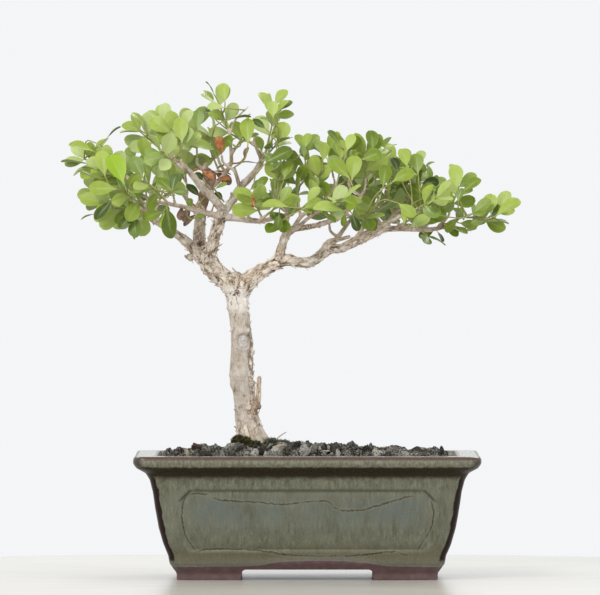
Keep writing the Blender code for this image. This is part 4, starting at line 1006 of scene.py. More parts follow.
# %% Wood: the measured limbs
# Each limb's stations x, y, z and radius, from its root outwards
LIMBS = {
    "trunk": [
        (-27, 0, 62, 11.5), (-27, 0, 82, 12.6), (-27.6, 0, 92, 12.4), (-28.8, 0, 99, 10.8),
        (-30, 0, 106, 9.5), (-31.6, 0, 115, 8.5), (-33, 0.6, 128, 8), (-35.6, 1, 144, 8.7),
        (-35.6, 0.6, 156, 8.2), (-35.4, 0, 167, 8), (-36, -0.8, 178, 7.5), (-37.6, -0.6, 190, 7.5),
        (-38.8, 0, 201, 8.2), (-38.6, 0, 211, 7.4),
    ],
    "root_right": [
        (-29, 0, 114, 4.2), (-22, -1, 101, 5), (-15.5, -2, 90, 4.6), (-11, -3, 78, 3),
    ],
    "root_back": [
        (-30, 1, 113, 4.2), (-32, 8, 100, 4.8), (-36, 14, 88, 3.8), (-39, 18, 78, 2.6),
    ],
    "stub": [
        (-31, -3, 118, 1.6), (-24.5, -5, 122, 1.5), (-22.8, -5.5, 129, 1.3), (-22.6, -5.5, 145, 1),
    ],
    "left_fork": [
        (-38.4, 0, 204, 8), (-45.6, 0, 212.6, 7.2), (-52.4, -0.6, 219.8, 6.9), (-59.6, -0.6, 226.4, 6.8),
        (-63.7, 0, 233, 6),
    ],
    "low_left": [
        (-61, 0, 229, 4.6), (-70.2, 0, 237.2, 4.2), (-77.4, 1, 243.7, 3.3), (-86, 3, 249.5, 2.9),
        (-96.2, 5, 256, 2.4), (-104, 6, 260, 1.9), (-112, 7, 264, 1.5),
    ],
    "rear_stem": [
        (-62.5, 1, 228, 5.4), (-66.4, 5, 240, 4.7), (-66, 9, 252, 4.4), (-65.1, 13, 262, 4),
        (-63.7, 17, 272, 3.7), (-61.5, 21, 281, 3.3), (-61, 24, 290, 2.6), (-62.4, 26, 299, 1.9),
    ],
    "front_stem": [
        (-60.5, -1, 229, 5.2), (-56.8, -4, 239, 4.5), (-55, -6, 246.4, 4.3), (-52.8, -8, 253.4, 4.4),
        (-49.6, -9, 261, 4.4),
    ],
    "crown_left": [
        (-50.4, -9, 259.6, 3.6), (-50.6, -12, 267.4, 3.1), (-56.8, -16, 274.2, 2.8),
        (-64.2, -20, 281.4, 2.6), (-69.6, -24, 288.6, 2.3), (-75.2, -29, 295.2, 1.9), (-79, -33, 299, 1.5),
    ],
    "mid_left": [
        (-50.6, -9, 260.6, 2.7), (-60, -12, 262.7, 2.1), (-68.4, -17, 265, 1.9), (-78, -24, 267.6, 1.7),
        (-86, -31, 269.2, 1.5), (-95, -37, 271, 1.3), (-103, -42, 274, 1.1),
    ],
    "mid_right": [
        (-50, -9, 260.4, 3), (-38.3, -13, 259, 2.4), (-28.9, -18, 257.6, 2.1), (-20.2, -24, 257.4, 1.9),
        (-10.8, -30, 259.8, 1.6), (-3, -34, 262, 1.3),
    ],
    "crown_right": [
        (-50, -9, 261.4, 3.2), (-42.4, -5, 271.6, 2.9), (-36.8, -1, 281.2, 2.8), (-30.8, 3, 287.2, 2.5),
        (-25.2, 8, 293.8, 2.3), (-21.4, 12, 300.6, 2), (-23.2, 14, 307, 1.6),
    ],
    "crown_inner": [
        (-36.9, -1, 281.2, 1.7), (-39, -6, 289, 1.5), (-41.2, -11, 295.6, 1.3),
    ],
    "dead_tip": [
        (-23.2, 14, 306, 1.5), (-25.9, 13, 313.6, 1.3), (-26.4, 12, 320, 1.1),
    ],
    "rear_twig": [
        (-61.6, 20, 279, 2.2), (-53, 18, 285.4, 1.8), (-47.2, 14, 292, 1.6), (-42.8, 10, 299.4, 1.5),
    ],
    "leader": [
        (-43, 10, 298.6, 1.5), (-43.4, 8, 309, 1.3), (-44.8, 5, 319, 1.2),
    ],
    "dead_twig": [
        (-44.6, 5.4, 317, 1), (-40.6, 3, 329.6, 0.8), (-30.6, 2, 340, 0.6),
    ],
    "right_fork": [
        (-38.8, 0, 203.6, 8), (-31.8, 0, 212.6, 7), (-24.6, -1, 218.6, 5.9), (-16.6, -2, 223.4, 5.1),
        (-8.7, -2, 227, 4.6), (-2.2, -1, 229, 4.7), (5.1, 0, 227.4, 3.9), (12.3, 2, 227, 3.9),
        (18.8, 3, 230, 4.1), (25, 3, 235.6, 4.2),
    ],
    "right_reach": [
        (24, 3, 234.6, 3.9), (30.6, 4, 237.2, 3.5), (39.2, 5, 238, 3.1), (48.6, 6, 242.2, 3),
        (60, 6, 247.8, 2.8), (70.2, 5, 251.6, 2.4), (86, 4, 251.4, 2), (99, 3, 251, 1.8),
        (108, 2, 252, 1.5), (116, 1, 254, 1.2),
    ],
    "riser": [
        (-9, -2, 227.6, 4), (-6.2, -6, 240.6, 3.3), (-3.6, -8, 247, 3.1), (1, -12, 251, 2.7),
        (9, -17, 252.6, 2.3), (18, -22, 254, 2), (27, -26, 256.8, 1.8), (34, -28, 258.6, 1.5),
    ],
    "riser_end": [
        (33, -28, 258.4, 1.5), (42, -26, 265.4, 1.4), (49, -22, 272.6, 1.3), (53, -18, 279, 1.1),
    ],
    "riser_up": [
        (-4, -8, 246, 2.3), (-3.4, -8, 256, 1.9), (-0.8, -4, 264.4, 1.7), (3.4, 1, 273, 1.5),
        (6, 6, 282, 1.2),
    ],
    "riser_mid": [
        (1, -12, 250.6, 1.9), (7, -11, 260, 1.6), (14, -8, 265, 1.4), (23, -3, 270, 1.3), (29, 2, 280, 1.1),
    ],
    "spur": [
        (24, 3, 236, 3), (28.4, 0, 242, 2.4), (35.5, -6, 244, 1.6), (42.6, -12, 246, 1.3),
    ],
    "end_riser": [
        (68, 5, 252, 1.8), (73.6, 8, 260.6, 1.5), (78, 12, 267.4, 1.3), (81, 15, 273, 1.1),
    ],
    "back_riser": [
        (46, 6, 242.6, 1.9), (53, 14, 253.6, 1.6), (58.4, 21, 267.6, 1.4), (60, 24, 278, 1.1),
    ],
    "tip_riser": [
        (107, 2, 253.6, 1.3), (112, 3, 258, 1.1),
    ],
    "back_left": [
        (-65.4, 12, 259, 2.6), (-72, 30, 268, 1.9), (-78, 44, 276, 1.6), (-82, 54, 282, 1.3),
    ],
    "back_crown": [
        (-62, 20, 279, 2.2), (-54, 34, 285, 1.6), (-48, 46, 290, 1.3),
    ],
    "rear_low": [
        (-67, -1, 234.4, 3), (-82, 14, 246, 2.2), (-94, 27, 256, 1.8), (-102, 36, 263, 1.4),
    ],
    "front_left": [
        (-85, 3, 249, 2), (-92, -16, 256, 1.7), (-99, -32, 261, 1.4), (-104, -42, 264, 1.2),
    ],
    "back_right": [
        (24, 4, 235, 2.8), (28, 18, 238, 2.2), (34, 33, 245, 1.8), (41, 46, 254.5, 1.5), (46, 55, 261, 1.2),
    ],
    "back_far": [
        (38, 5, 239, 2.2), (50, 23, 246, 1.8), (63, 39, 253, 1.5), (74, 50, 259, 1.2),
    ],
    "front_right": [
        (-4, -8, 246.4, 2.2), (4, -28, 252, 1.7), (12, -43, 259, 1.4), (19, -52, 264, 1.2),
    ],
    "front_far": [
        (59, 6, 248.4, 2), (67, -12, 254, 1.6), (76, -27, 259, 1.3), (84, -37, 263, 1.1),
    ],
}  # fmt: skip

# %% Wood: shoots and dry leaves, by the twigs they grow on
# Each shoot's limb, its foot and tip, and its pairs of leaves
SPRAYS = [
    ("low_left", (-130, 4, 293.5), (-149.5, 2, 302), 3),
    ("mid_left", (-117, -40, 282), (-131, -45, 297), 3),
    ("crown_left", (-95, -26, 310), (-109, -28, 322), 3),
    ("crown_left", (-86, -14, 307), (-93, -12, 329), 3),
    ("crown_left", (-79, -42, 302), (-80, -48, 323), 3), ("rear_stem", (-68, 27, 303), (-69, 25, 325), 3),
    ("leader", (-46, 4, 324), (-51.5, 2, 341), 2), ("leader", (-41, 0, 308), (-35, -9, 318), 2),
    ("crown_right", (-17, 15, 312), (-12, 14, 334), 3), ("crown_right", (-20, 6, 302), (-9, -2, 314), 3),
    ("low_left", (-122, 10, 271), (-140, 14, 278), 3),
    ("front_left", (-112, -40, 266), (-128, -46, 267), 3),
    ("low_left", (-106, 0, 267), (-113, -4, 259.5), 2), ("mid_left", (-92, -46, 274), (-102, -58, 284), 3),
    ("mid_left", (-84, -36, 273), (-87, -42, 288), 2), ("mid_left", (-89, -39.5, 268), (-92, -44, 264), 1),
    ("rear_low", (-107, 34, 284), (-117, 36, 298), 3), ("crown_left", (-83, -52, 299), (-94, -64, 307), 3),
    ("rear_twig", (-53, 8, 304), (-57, 0, 318), 2), ("rear_low", (-110, 44, 267), (-123, 54, 273), 3),
    ("back_left", (-87, 60, 287), (-97, 69, 297), 3), ("back_left", (-76, 44, 285), (-79, 47, 304), 3),
    ("back_crown", (-54, 50, 297), (-60, 58, 311), 3),
    ("front_left", (-106, -48, 269), (-117, -59, 276), 3),
    ("mid_right", (-22, -28, 262), (-26, -37, 271), 3), ("mid_right", (-17, -34, 262), (-7, -44, 270), 3),
    ("riser_up", (-11, -8, 281), (-7, -14, 299), 3), ("mid_right", (3, -38, 264), (12, -48, 269), 2),
    ("riser_up", (10, 8, 291), (11, 6, 308), 3), ("riser_mid", (31, 3, 288), (27, 0, 307), 3),
    ("riser_end", (42, -20, 288), (41, -27, 308), 3), ("riser_end", (54, -18, 288), (54, -24, 306), 3),
    ("back_riser", (61, 26, 287), (64, 28, 308), 3), ("back_riser", (69, 14, 280), (75, 9, 297), 3),
    ("end_riser", (82, 14, 280), (87, 9, 299), 3), ("end_riser", (87, 21, 273), (98, 25, 284), 3),
    ("right_reach", (97, -8, 262), (107, -17, 273), 3), ("tip_riser", (115, 3, 264), (121.5, 1, 282), 3),
    ("right_reach", (136, 0, 255), (149, -3, 264), 3), ("right_reach", (119, -9, 258), (132, -20, 263), 2),
    ("right_reach", (96, -6, 249), (99, -14, 246), 1), ("riser", (30, -34, 262), (24, -44, 269), 2),
    ("riser", (43, -30, 261), (53, -38, 259), 2), ("right_reach", (84, -8, 257), (94, -20, 263), 2),
    ("mid_right", (-11, -35, 257.5), (-10, -43, 255), 1), ("riser_mid", (17, -10, 273), (20, -17, 289), 3),
    ("front_right", (26, -59, 268), (38, -69, 273), 3), ("back_right", (55, 62, 266), (69, 71, 272), 3),
    ("back_right", (28, 41, 254), (25, 50, 270), 3), ("back_far", (82, 55, 263), (95, 63, 270), 3),
    ("front_far", (92, -43, 267), (105, -51, 274), 3),
]  # fmt: skip
# Each dry leaf's limb, its foot and tip
DRY_LEAVES = [
    ("crown_inner", (-50, -10, 305), (-53, -13, 318)), ("rear_stem", (-55, 4, 287), (-45, -4, 288)),
    ("mid_right", (-30, -22, 263), (-27, -26, 274)),
]  # fmt: skip
TWIG_RADII = (1.3, 1.0)
TWIG_LEAD, TWIG_KINK = 12, 0.4
print(len(LIMBS), "limbs,", len(SPRAYS), "shoots,", len(DRY_LEAVES), "dry leaves")


def curve_through(stations, steps):
    """Points (x, y, z, radius) of a smooth curve through the stations, with steps to each span."""
    line = [np.array(station, float) for station in stations]
    line = [2 * line[0] - line[1], *line, 2 * line[-1] - line[-2]]
    points = []
    for a, b, c, d in zip(line, line[1:], line[2:], line[3:]):
        for t in np.arange(steps) / steps:
            bend = (2 * a - 5 * b + 4 * c - d) * t**2 + (3 * b - a - 3 * c + d) * t**3
            points.append(b + 0.5 * ((c - a) * t + bend))
    return [*points, line[-2]]


def twig_stations(limb, foot, direction):
    """The brown twig that carries a shoot: from the nearest place on its limb, behind the foot."""
    target = foot - direction * TWIG_LEAD
    line = curve_through(LIMBS[limb], 3)
    start = min(line, key=lambda p: (Vector(p[:3]) - target).length)
    root = Vector(start[:3])
    reach = (foot - root).length
    middle = foot - direction * reach * TWIG_KINK
    first, last = TWIG_RADII
    first = min(first, 0.8 * start[3])
    last = min(last, first)
    return [(*root, first), (*middle, (first + last) / 2), (*foot, last)]


# %% Wood: round sticks
def unit(vector):
    return vector / np.linalg.norm(vector)


def frames_along(line):
    """At each place of a line: the way ahead and two ways square to it, turning as little as they can."""
    centres = np.asarray(line, float)[:, :3]
    ahead = np.gradient(centres, axis=0)
    ahead /= np.linalg.norm(ahead, axis=1)[:, None]
    side = np.cross(ahead[0], (0.3, 0.9, 0.1))
    frames = []
    for tangent in ahead:
        side = unit(side - tangent * side.dot(tangent))
        frames.append((tangent, side, np.cross(tangent, side)))
    return frames


def stick(line, sides):
    """Points and faces of a round stick through (x, y, z, radius), capped at both ends."""
    angles = np.radians(np.arange(sides) * 360 / sides)
    rings = []
    for place, (_, side, other) in zip(np.asarray(line, float), frames_along(line)):
        spokes = np.cos(angles)[:, None] * side + np.sin(angles)[:, None] * other
        rings.append(place[:3] + place[3] * spokes)
    return loft(rings)

# %% [markdown]
# ## Where the leaves grow
#
# Boxwood leaves stand in opposite pairs, each pair turned from the last, on short square green shoots.
# The measured shoots are laid out again by the rule that made them, with the same seeds, so every fine
# leaf lands on its plain one. The real pads hold more: side shoots fill the room between. They are found
# by trial. A shoot is proposed on a thin twig, and kept only if its leaves clear every branch and leaf
# that is there and stay inside the pads' outline, which was traced loosely as the front view shows it.

# %% Layout: one leaf
LEAF_LENGTH, LEAF_THICKNESS, LEAF_SINK = 17.6, 0.7, 0.2
LEAF_OUTLINE = [(0.3, 0.185, 0.015), (0.66, 0.3, 0.05), (0.97, 0.14, -0.02)]
LEAF_FACES = [(0, 1, 6), (1, 3, 6), (3, 4, 6), (1, 2, 3), (4, 5, 6)]
BLADE_START = 0.2
TURNS, LEANS = (8, 62), (34, 56)
FIRST_PAIR, LAST_PAIR, MOST_PAIRS = 0.3, 0.97, 3
LEAF_TRIES = 14
LEAF_CLEARANCE, BRANCH_CLEARANCE = 0.55, 1.1
STEM_RADII, STEM_GAP = (0.95, 0.6), 0.3
SEED = 11
PAD_CENTRES = (Vector((-84, 4, 272)), Vector((46, 4, 256)))
PAD_BORDER_X, BACK_STARTS_Y = -30, 25


def facing(place):
    """Which way leaves turn: up, towards the nearer side of the tree, and off their pad's middle."""
    centre = PAD_CENTRES[0] if place.x < PAD_BORDER_X else PAD_CENTRES[1]
    outward = (place - centre).normalized()
    side = -0.8 if place.y < BACK_STARTS_Y else 0.8
    return UP * 0.62 + outward * 0.35 + Vector((0, side, 0))


def square_to(vector, axis):
    rest = vector - axis * vector.dot(axis)
    return rest.normalized() if rest.length > 1e-6 else axis.orthogonal().normalized()


class Leaf:
    """One leaf: its foot on the stem, the way it points, the way its upper face looks, and its length."""

    def __init__(self, foot, direction, normal, length):
        self.foot, self.length = foot, length
        self.along = direction.normalized()
        self.normal = square_to(normal, self.along)
        self.across = self.along.cross(self.normal)

    def point(self, t, side, rise=0.0):
        return self.foot + (self.along * t + self.across * side + self.normal * rise) * self.length

    def surface(self, start=0.0):
        right = [self.point(t, half, rise) for t, half, rise in LEAF_OUTLINE]
        left = [self.point(t, -half, rise) for t, half, rise in reversed(LEAF_OUTLINE)]
        return [self.point(start, 0), *right, *left]

    def slab(self, half_thickness, start=0.0):
        """A search tree of its plain outline made into a slab, to test whether two leaves cross."""
        outline = self.surface(start)
        shift = self.normal * half_thickness
        grown = [p + (p - self.point(0.6, 0)).normalized() * half_thickness for p in outline]
        corners = [p + shift for p in grown] + [p - shift for p in grown]
        count = len(outline)
        faces = [f for a, b, c in LEAF_FACES for f in ((a, b, c), (c + count, b + count, a + count))]
        faces += [(i, i + count, (i + 1) % count + count, (i + 1) % count) for i in range(count)]
        return BVHTree.FromPolygons(corners, faces)

    def samples(self):
        rows = [(t, s * half) for t, half, _ in LEAF_OUTLINE for s in (-1, -0.5, 0, 0.5, 1)]
        rows += [(t, s * half) for t, half in ((0.47, 0.25), (0.8, 0.23)) for s in (-1, -0.5, 0, 0.5, 1)]
        return np.array([self.point(t, side) for t, side in rows])


# %% Layout: what a leaf must keep clear of
WOOD = -1  # the owner of every length of wood; a shoot owns its stem under its own number


class Branches:
    """Every length of wood and stem as a rounded stick, to keep the leaves off them."""

    def __init__(self):
        self.rows, self.owners = [], []

    def add(self, stations, owner):
        for a, b in zip(stations, stations[1:]):
            self.rows.append([*a[:3], *b[:3], max(a[3], b[3])])
            self.owners.append(owner)

    def freeze(self):
        self.table = np.array(self.rows, float)
        self.owner_ids = np.array(self.owners)

    def clear_of(self, points, owner, gap):
        """True if all points are farther than gap from every stick that isn't the owner's."""
        table = self.table[self.owner_ids != owner]
        start, end, radius = table[:, :3], table[:, 3:6], table[:, 6]
        span = end - start
        offset = points[:, None, :] - start[None]
        share = np.clip((offset * span).sum(-1) / (span**2).sum(-1), 0, 1)
        distance = np.linalg.norm(offset - share[..., None] * span, axis=-1) - radius
        return bool((distance > gap).all())


def fits(leaf, number, branches, placed):
    """True if a leaf clears the branches, the leaves of other shoots and the blades on its own."""
    if not branches.clear_of(leaf.samples(), number, BRANCH_CLEARANCE):
        return False
    grown = leaf.slab(LEAF_THICKNESS / 2 + LEAF_CLEARANCE)
    own = leaf.slab(LEAF_THICKNESS / 2, BLADE_START)
    middle = leaf.point(0.5, 0)
    for owner, other, centre, whole, blade in placed:
        if (centre - middle).length > other.length + leaf.length:
            continue
        if own.overlap(blade) if owner == number else grown.overlap(whole):
            return False
    return True


def place_leaf(leaf, number, placed):
    whole, blade = leaf.slab(LEAF_THICKNESS / 2), leaf.slab(LEAF_THICKNESS / 2, BLADE_START)
    placed.append((number, leaf, leaf.point(0.5, 0), whole, blade))


# %% Layout: the measured shoots
def stem_stations(foot, tip):
    start = foot + (tip - foot).normalized() * STEM_GAP
    first, last = STEM_RADII
    return [(*start, first), (*tip, last)]


def leaf_options(stations, pair, pairs, side, chance, sway=0.6):
    """The places that one leaf may take on its stem, the likeliest first."""
    last = pair == pairs - 1
    t = LAST_PAIR if last else FIRST_PAIR + (LAST_PAIR - FIRST_PAIR) * pair / (pairs - 1)
    start, tip = (Vector(station[:3]) for station in stations)
    foot, stem = start.lerp(tip, t), (tip - start).normalized()
    face = square_to(facing(foot), stem)
    beside = stem.cross(face)
    usual_length = LEAF_LENGTH * (0.92 if last else 1.04) * chance.uniform(0.86, 1.14)
    for attempt in range(LEAF_TRIES):
        spread = 6 + 3.5 * attempt
        turn = math.radians(TURNS[(pairs - 1 - pair) % 2] + chance.uniform(-spread, spread))
        lean = math.radians(LEANS[0 if last else 1] + 0.7 * chance.uniform(-spread, spread))
        radial = (beside * math.cos(turn) + face * math.sin(turn)) * side
        direction = stem * math.cos(lean) + radial * math.sin(lean)
        normal = face * 0.85 + stem * 0.35 + beside * chance.uniform(-sway, sway)
        length = usual_length * (1 - 0.018 * attempt)
        yield Leaf(foot - direction * LEAF_SINK, direction, normal, length)


# %% Layout: the whole measured tree
def plan_measured():
    """The shoots and dry leaves of the measured tree, in the order in which it was laid out."""
    branches, shoots, dry = Branches(), [], []
    for stations in LIMBS.values():
        branches.add(curve_through(stations, 2), WOOD)
    for limb, *ends in DRY_LEAVES:
        foot, tip = map(Vector, ends)
        direction = (tip - foot).normalized()
        twig = twig_stations(limb, foot, direction)
        branches.add(twig, WOOD)
        dry.append((twig, Leaf(foot + direction * STEM_GAP, direction, facing(foot), (tip - foot).length)))
    for number, (limb, *ends, pairs) in enumerate(SPRAYS):
        foot, tip = map(Vector, ends)
        twig = twig_stations(limb, foot, (tip - foot).normalized())
        stem = stem_stations(foot, tip)
        branches.add(twig, WOOD)
        branches.add(stem, number)
        shoots.append({"twig": twig, "stem": stem, "pairs": pairs, "leaves": []})
    branches.freeze()
    placed = []
    for _, leaf in dry:
        place_leaf(leaf, WOOD, placed)
    for level in range(MOST_PAIRS):
        for number, shoot in enumerate(shoots):
            pair = shoot["pairs"] - 1 - level
            if pair < 0:
                continue
            chance = random.Random(SEED + 101 * number + 7 * level)
            for side in (1, -1):
                options = leaf_options(shoot["stem"], pair, shoot["pairs"], side, chance)
                leaf = next((leaf for leaf in options if fits(leaf, number, branches, placed)), None)
                if leaf:
                    place_leaf(leaf, number, placed)
                    shoot["leaves"].append(leaf)
    return branches, placed, shoots, dry


branches, placed, shoots, dry_leaves = plan_measured()
print(len(shoots), "measured shoots,", sum(len(shoot["leaves"]) for shoot in shoots), "leaves")

# %% Layout: each leaf rolled a little
ROLLS = (30, 22, 14, 7)
ROLL_SEED = 17


def roll_leaves(branches, placed, shoots):
    """Turns each measured leaf a little about its own length, where it has room: no two face one way."""
    chance = random.Random(ROLL_SEED)
    for number, shoot in enumerate(shoots):
        for index, leaf in enumerate(shoot["leaves"]):
            spot = next(i for i, row in enumerate(placed) if row[1] is leaf)
            others = placed[:spot] + placed[spot + 1 :]
            away = math.copysign(1, leaf.normal.y * leaf.across.y) * chance.choice((-1, -1, 1))
            for degrees in ROLLS:
                roll = math.radians(degrees) * away
                normal = leaf.normal * math.cos(roll) + leaf.across * math.sin(roll)
                rolled = Leaf(leaf.foot, leaf.along, normal, leaf.length)
                if fits(rolled, number, branches, others):
                    place_leaf(rolled, number, others)
                    placed[spot] = others.pop()
                    shoot["leaves"][index] = rolled
                    break


plain = [leaf for shoot in shoots for leaf in shoot["leaves"]]
roll_leaves(branches, placed, shoots)
rolled = [leaf for shoot in shoots for leaf in shoot["leaves"]]
print(sum(a is not b for a, b in zip(plain, rolled)), "leaves rolled")

# %% Layout: leaves that the front view shows one by one
# Each row: a leaf's foot and tip in the picture, its depth, how far it is turned about its own length,
# in degrees, and its tint: 0 is dark, 1 pale, over 1 lime, and below 0 it is dead. The tint is partly the
# leaf's age, old leaves dark and young ones pale, and partly painted light: the sheen or shade each leaf
# shows. The front leaves hide the others, so they stay near their own depth.
FRONT_LEAVES = [
    (124, 184, 110, 154, -68, 10, 1.2), (117, 189, 89, 188, -64, 8, 0.47),
    (167, 150, 160, 129, -56, 12, 0.59), (172, 134, 150, 119, -50, 14, 0.53),
    (182, 143, 180, 117, -60, 2, 0.57), (172, 191, 176, 173, -72, 30, 0.13),
    (171, 190, 157, 178, -68, 35, 0.21), (172, 192, 187, 192, -70, 20, 0.29),
    (167, 207, 172, 238, -56, 28, 0.09), (112, 200, 95, 219, -58, 40, 0.02),
    (134, 215, 136, 237, -52, 18, 0.25), (134, 214, 119, 228, -50, 10, 0.07),
    (147, 163, 142, 138, -50, 18, 0.47), (143, 178, 132, 156, -58, 5, 0.49),
    (105, 176, 101, 150, -60, 4, 0.61), (248, 144, 247, 118, -24, 4, 0.49),
    (231, 119, 251, 116, -22, 78, 0.02), (266, 129, 253, 119, -26, 35, 0.02),
    (268, 161, 292, 149, -34, 6, 0.15), (262, 152, 277, 163, -30, 30, 0.37),
    (284, 179, 290, 161, -30, 15, 0.37), (258, 192, 266, 176, -44, 35, 0.22),
    (288, 207, 262, 204, -60, 35, 0.53), (279, 214, 277, 230, -56, 4, 0.15),
    (341, 160, 341, 139, -36, 22, 0.53), (347, 151, 353, 134, -44, 12, 0.67),
    (338, 143, 329, 130, -36, 45, 0.12), (373, 151, 371, 130, -42, 10, 0.19),
    (361, 160, 381, 152, -48, 0, 0.32), (352, 180, 355, 155, -48, 0, 0.49),
    (349, 178, 331, 159, -46, 15, 0.37), (323, 161, 325, 142, -30, 20, 0.61),
    (383, 187, 386, 165, -42, 8, 0.27), (392, 182, 414, 171, -44, 18, 0.39),
    (407, 167, 402, 148, -22, 12, 0.57), (418, 174, 416, 153, -16, 2, 0.39),
    (421, 183, 439, 182, -10, 0, 0.02), (457, 190, 455, 164, -18, 2, 0.63),
    (463, 192, 480, 178, -16, 30, 0.29), (484, 217, 493, 194, -28, 4, 0.63),
    (496, 216, 520, 200, -32, 40, 0.53), (486, 221, 509, 222, -26, 58, 0.17),
    (458, 202, 462, 188, -24, 20, 0.37), (343, 211, 313, 206, -66, 36, 0.63),
    (303, 209, 322, 200, -66, 30, 0.37), (404, 224, 408, 205, -42, 40, 0.59),
    (410, 226, 430, 216, -44, 12, 0.72), (447, 217, 429, 213, -38, 25, 0.22),
    (468, 226, 486, 218, -28, 15, 0.17), (457, 222, 462, 207, -24, 10, 0.47),
    (398, 172, 393, 157, -14, 40, 0.02), (427, 197, 445, 193, -28, 40, 0.02),
    (352, 214, 358, 231, -56, 25, 0.02), (96, 143, 107, 152, -20, 50, 0.32),
]  # fmt: skip
SEEN_LEAVES = [
    (91, 164, 61, 160, -14, 72, 0.45), (93, 151, 69, 143, -10, 42, 0.5), (94, 156, 107, 137, -8, 48, 0.5),
    (106, 139, 120, 126, -8, 84, 0.3), (106, 203, 80, 198, -42, 8, 0.6), (93, 177, 78, 170, -40, 72, 0.3),
    (97, 170, 82, 167, -30, 72, 0.5), (94, 214, 81, 219, -34, 78, 0.3), (149, 219, 131, 217, -46, 35, 0.7),
    (117, 216, 112, 226, -30, 40, 0.2), (143, 132, 122, 124, -34, 25, 0.5),
    (144, 127, 133, 112, -34, 42, 0.45), (170, 126, 160, 104, -24, 12, 1.07),
    (198, 129, 198, 110, -10, 5, 0.5), (216, 120, 205, 110, 0, 45, 0.08), (214, 94, 207, 81, 4, 74, 0.05),
    (225, 102, 223, 83, -4, 0, 0.6), (214, 104, 204, 90, 0, 42, 0.4), (225, 108, 207, 106, -8, 40, 0.8),
    (228, 117, 226, 108, -6, 30, 0.7), (272, 111, 260, 92, 0, 25, 0.6), (275, 105, 286, 89, -4, 20, 0.6),
    (273, 118, 272, 101, -8, 8, 0.65), (281, 110, 292, 101, 4, 45, 0.25), (273, 117, 294, 114, -8, 18, 0.5),
    (271, 121, 260, 118, -4, 56, 0.4), (270, 141, 286, 123, -12, 22, 0.55),
    (272, 145, 289, 136, -14, 55, 0.6), (241, 141, 233, 121, -4, 28, 0.5),
    (215, 189, 227, 183, -30, 50, 0.55), (257, 163, 239, 162, -10, 66, 0.1),
    (229, 163, 217, 168, -6, 74, 0.15), (216, 158, 209, 159, 4, 60, 0.05),
    (152, 168, 165, 152, -52, 25, 0.3), (304, 149, 309, 133, 2, 8, 0.5), (304, 158, 301, 143, -2, 45, 0.5),
    (366, 152, 361, 142, -8, 35, 0.7), (380, 153, 396, 143, -10, 55, 0.75),
    (368, 182, 371, 166, -34, 40, 0.75), (424, 168, 434, 161, 2, 62, 0.3), (452, 199, 449, 185, 4, 72, 0.5),
    (476, 222, 473, 202, -4, 48, 0.45), (435, 229, 419, 237, -14, 4, 0.2),
    (437, 231, 443, 242, -8, 66, 0.02), (313, 199, 312, 179, -46, 45, 0.65),
    (333, 165, 317, 166, -14, 50, 0.7), (457, 219, 446, 232, -6, 30, 0.5),
    (398, 203, 415, 216, -50, 15, 0.5), (201, 170, 214, 178, -12, 35, -1), (213, 171, 231, 174, -6, 62, -1),
    (160, 162, 172, 172, -20, 20, -0.5), (252, 198, 254, 206, -40, 50, -1),
    (213, 190, 206, 168, -12, 12, -0.5), (214, 172, 231, 184, 18, 40, -0.5),
    (206, 210, 202, 191, -10, 15, -0.5), (182, 206, 180, 220, -10, 30, -0.5),
    (193, 219, 204, 215, -8, 30, 0.4), (191, 209, 189, 198, -4, 20, 0.4), (223, 201, 215, 192, 8, 30, 0.05),
    (190, 206, 184, 222, -14, 35, -0.5), (345, 213, 343, 226, -44, 35, 0.3),
    (356, 210, 364, 222, -40, 30, 0.35), (444, 225, 458, 236, -6, 30, 0.3),
    (459, 223, 477, 227, -14, 25, 0.6), (485, 222, 471, 223, -16, 18, 0.7),
    (452, 228, 468, 232, -8, 40, 0.5), (244, 158, 248, 147, 0, 35, -0.5),
    (262, 152, 257, 136, -16, 25, 0.5), (200, 197, 187, 184, 16, 30, 0.05),
    (196, 214, 184, 226, -6, 40, -0.5), (204, 182, 196, 172, 20, 30, 0.1),
    (250, 190, 262, 180, -10, 35, 0.3), (322, 213, 336, 222, -30, 40, 0.3),
    (296, 205, 290, 216, -40, 25, 0.4),
]  # fmt: skip
print(len(FRONT_LEAVES), "front leaves,", len(SEEN_LEAVES), "others seen one by one")

# %% Layout: from a row to a leaf and its stalk
TOWARDS_VIEWER = Vector((0, -1, 0))
DEPTH_SHIFTS = (0, -5, 5, -10, 10, -15, 15, -20, 20, -26, 26, -32, 32)
LEAN_BACK = 0.35
STALK_RADII = (0.75, 0.6, 0.5)
STALK_STARTS = 60  # how many places on the wood a stalk chooses from
OWN_DEPTH, ANY_DEPTH = 1.3, 0.3  # what a millimetre off its own depth costs a front leaf and the others


def seen_leaf(row, shift):
    """The leaf of one row. One that points up leans back and one that hangs leans forward, to face up."""
    foot = place_at(row[0], row[1], row[4] + shift)
    flat = place_at(row[2], row[3], row[4] + shift)
    tip = place_at(row[2], row[3], row[4] + shift + LEAN_BACK * (flat.z - foot.z))
    along = (tip - foot).normalized()
    aside = along.cross(TOWARDS_VIEWER)
    if aside.z + 0.2 * aside.x * (1 if foot.x > PAD_BORDER_X else -1) < 0:
        aside = -aside
    turned = math.radians(row[5] + 16 * abs(along.x))
    normal = TOWARDS_VIEWER * math.cos(turned) + aside * math.sin(turned)
    return Leaf(foot, along, normal, (tip - foot).length)


def stalk_to(leaf, tree, places):
    """A thin stem that leaves the wood behind a leaf and arrives the way the leaf points."""

    def cost(place):
        gap = leaf.foot - place
        return gap.length * (1.5 - gap.normalized().dot(leaf.along))

    root = min((Vector(places[hit[1]][:3]) for hit in tree.find_n(leaf.foot, STALK_STARTS)), key=cost)
    reach = (leaf.foot - root).length
    bend = ((root + leaf.foot) / 2 + leaf.foot - leaf.along * reach / 2) / 2
    return [(*place, radius) for place, radius in zip((root, bend, leaf.foot), STALK_RADII)]


# %% Layout: room for the seen leaves
SEEN_NUMBERS = 1000
THIN_WOOD = 2.3


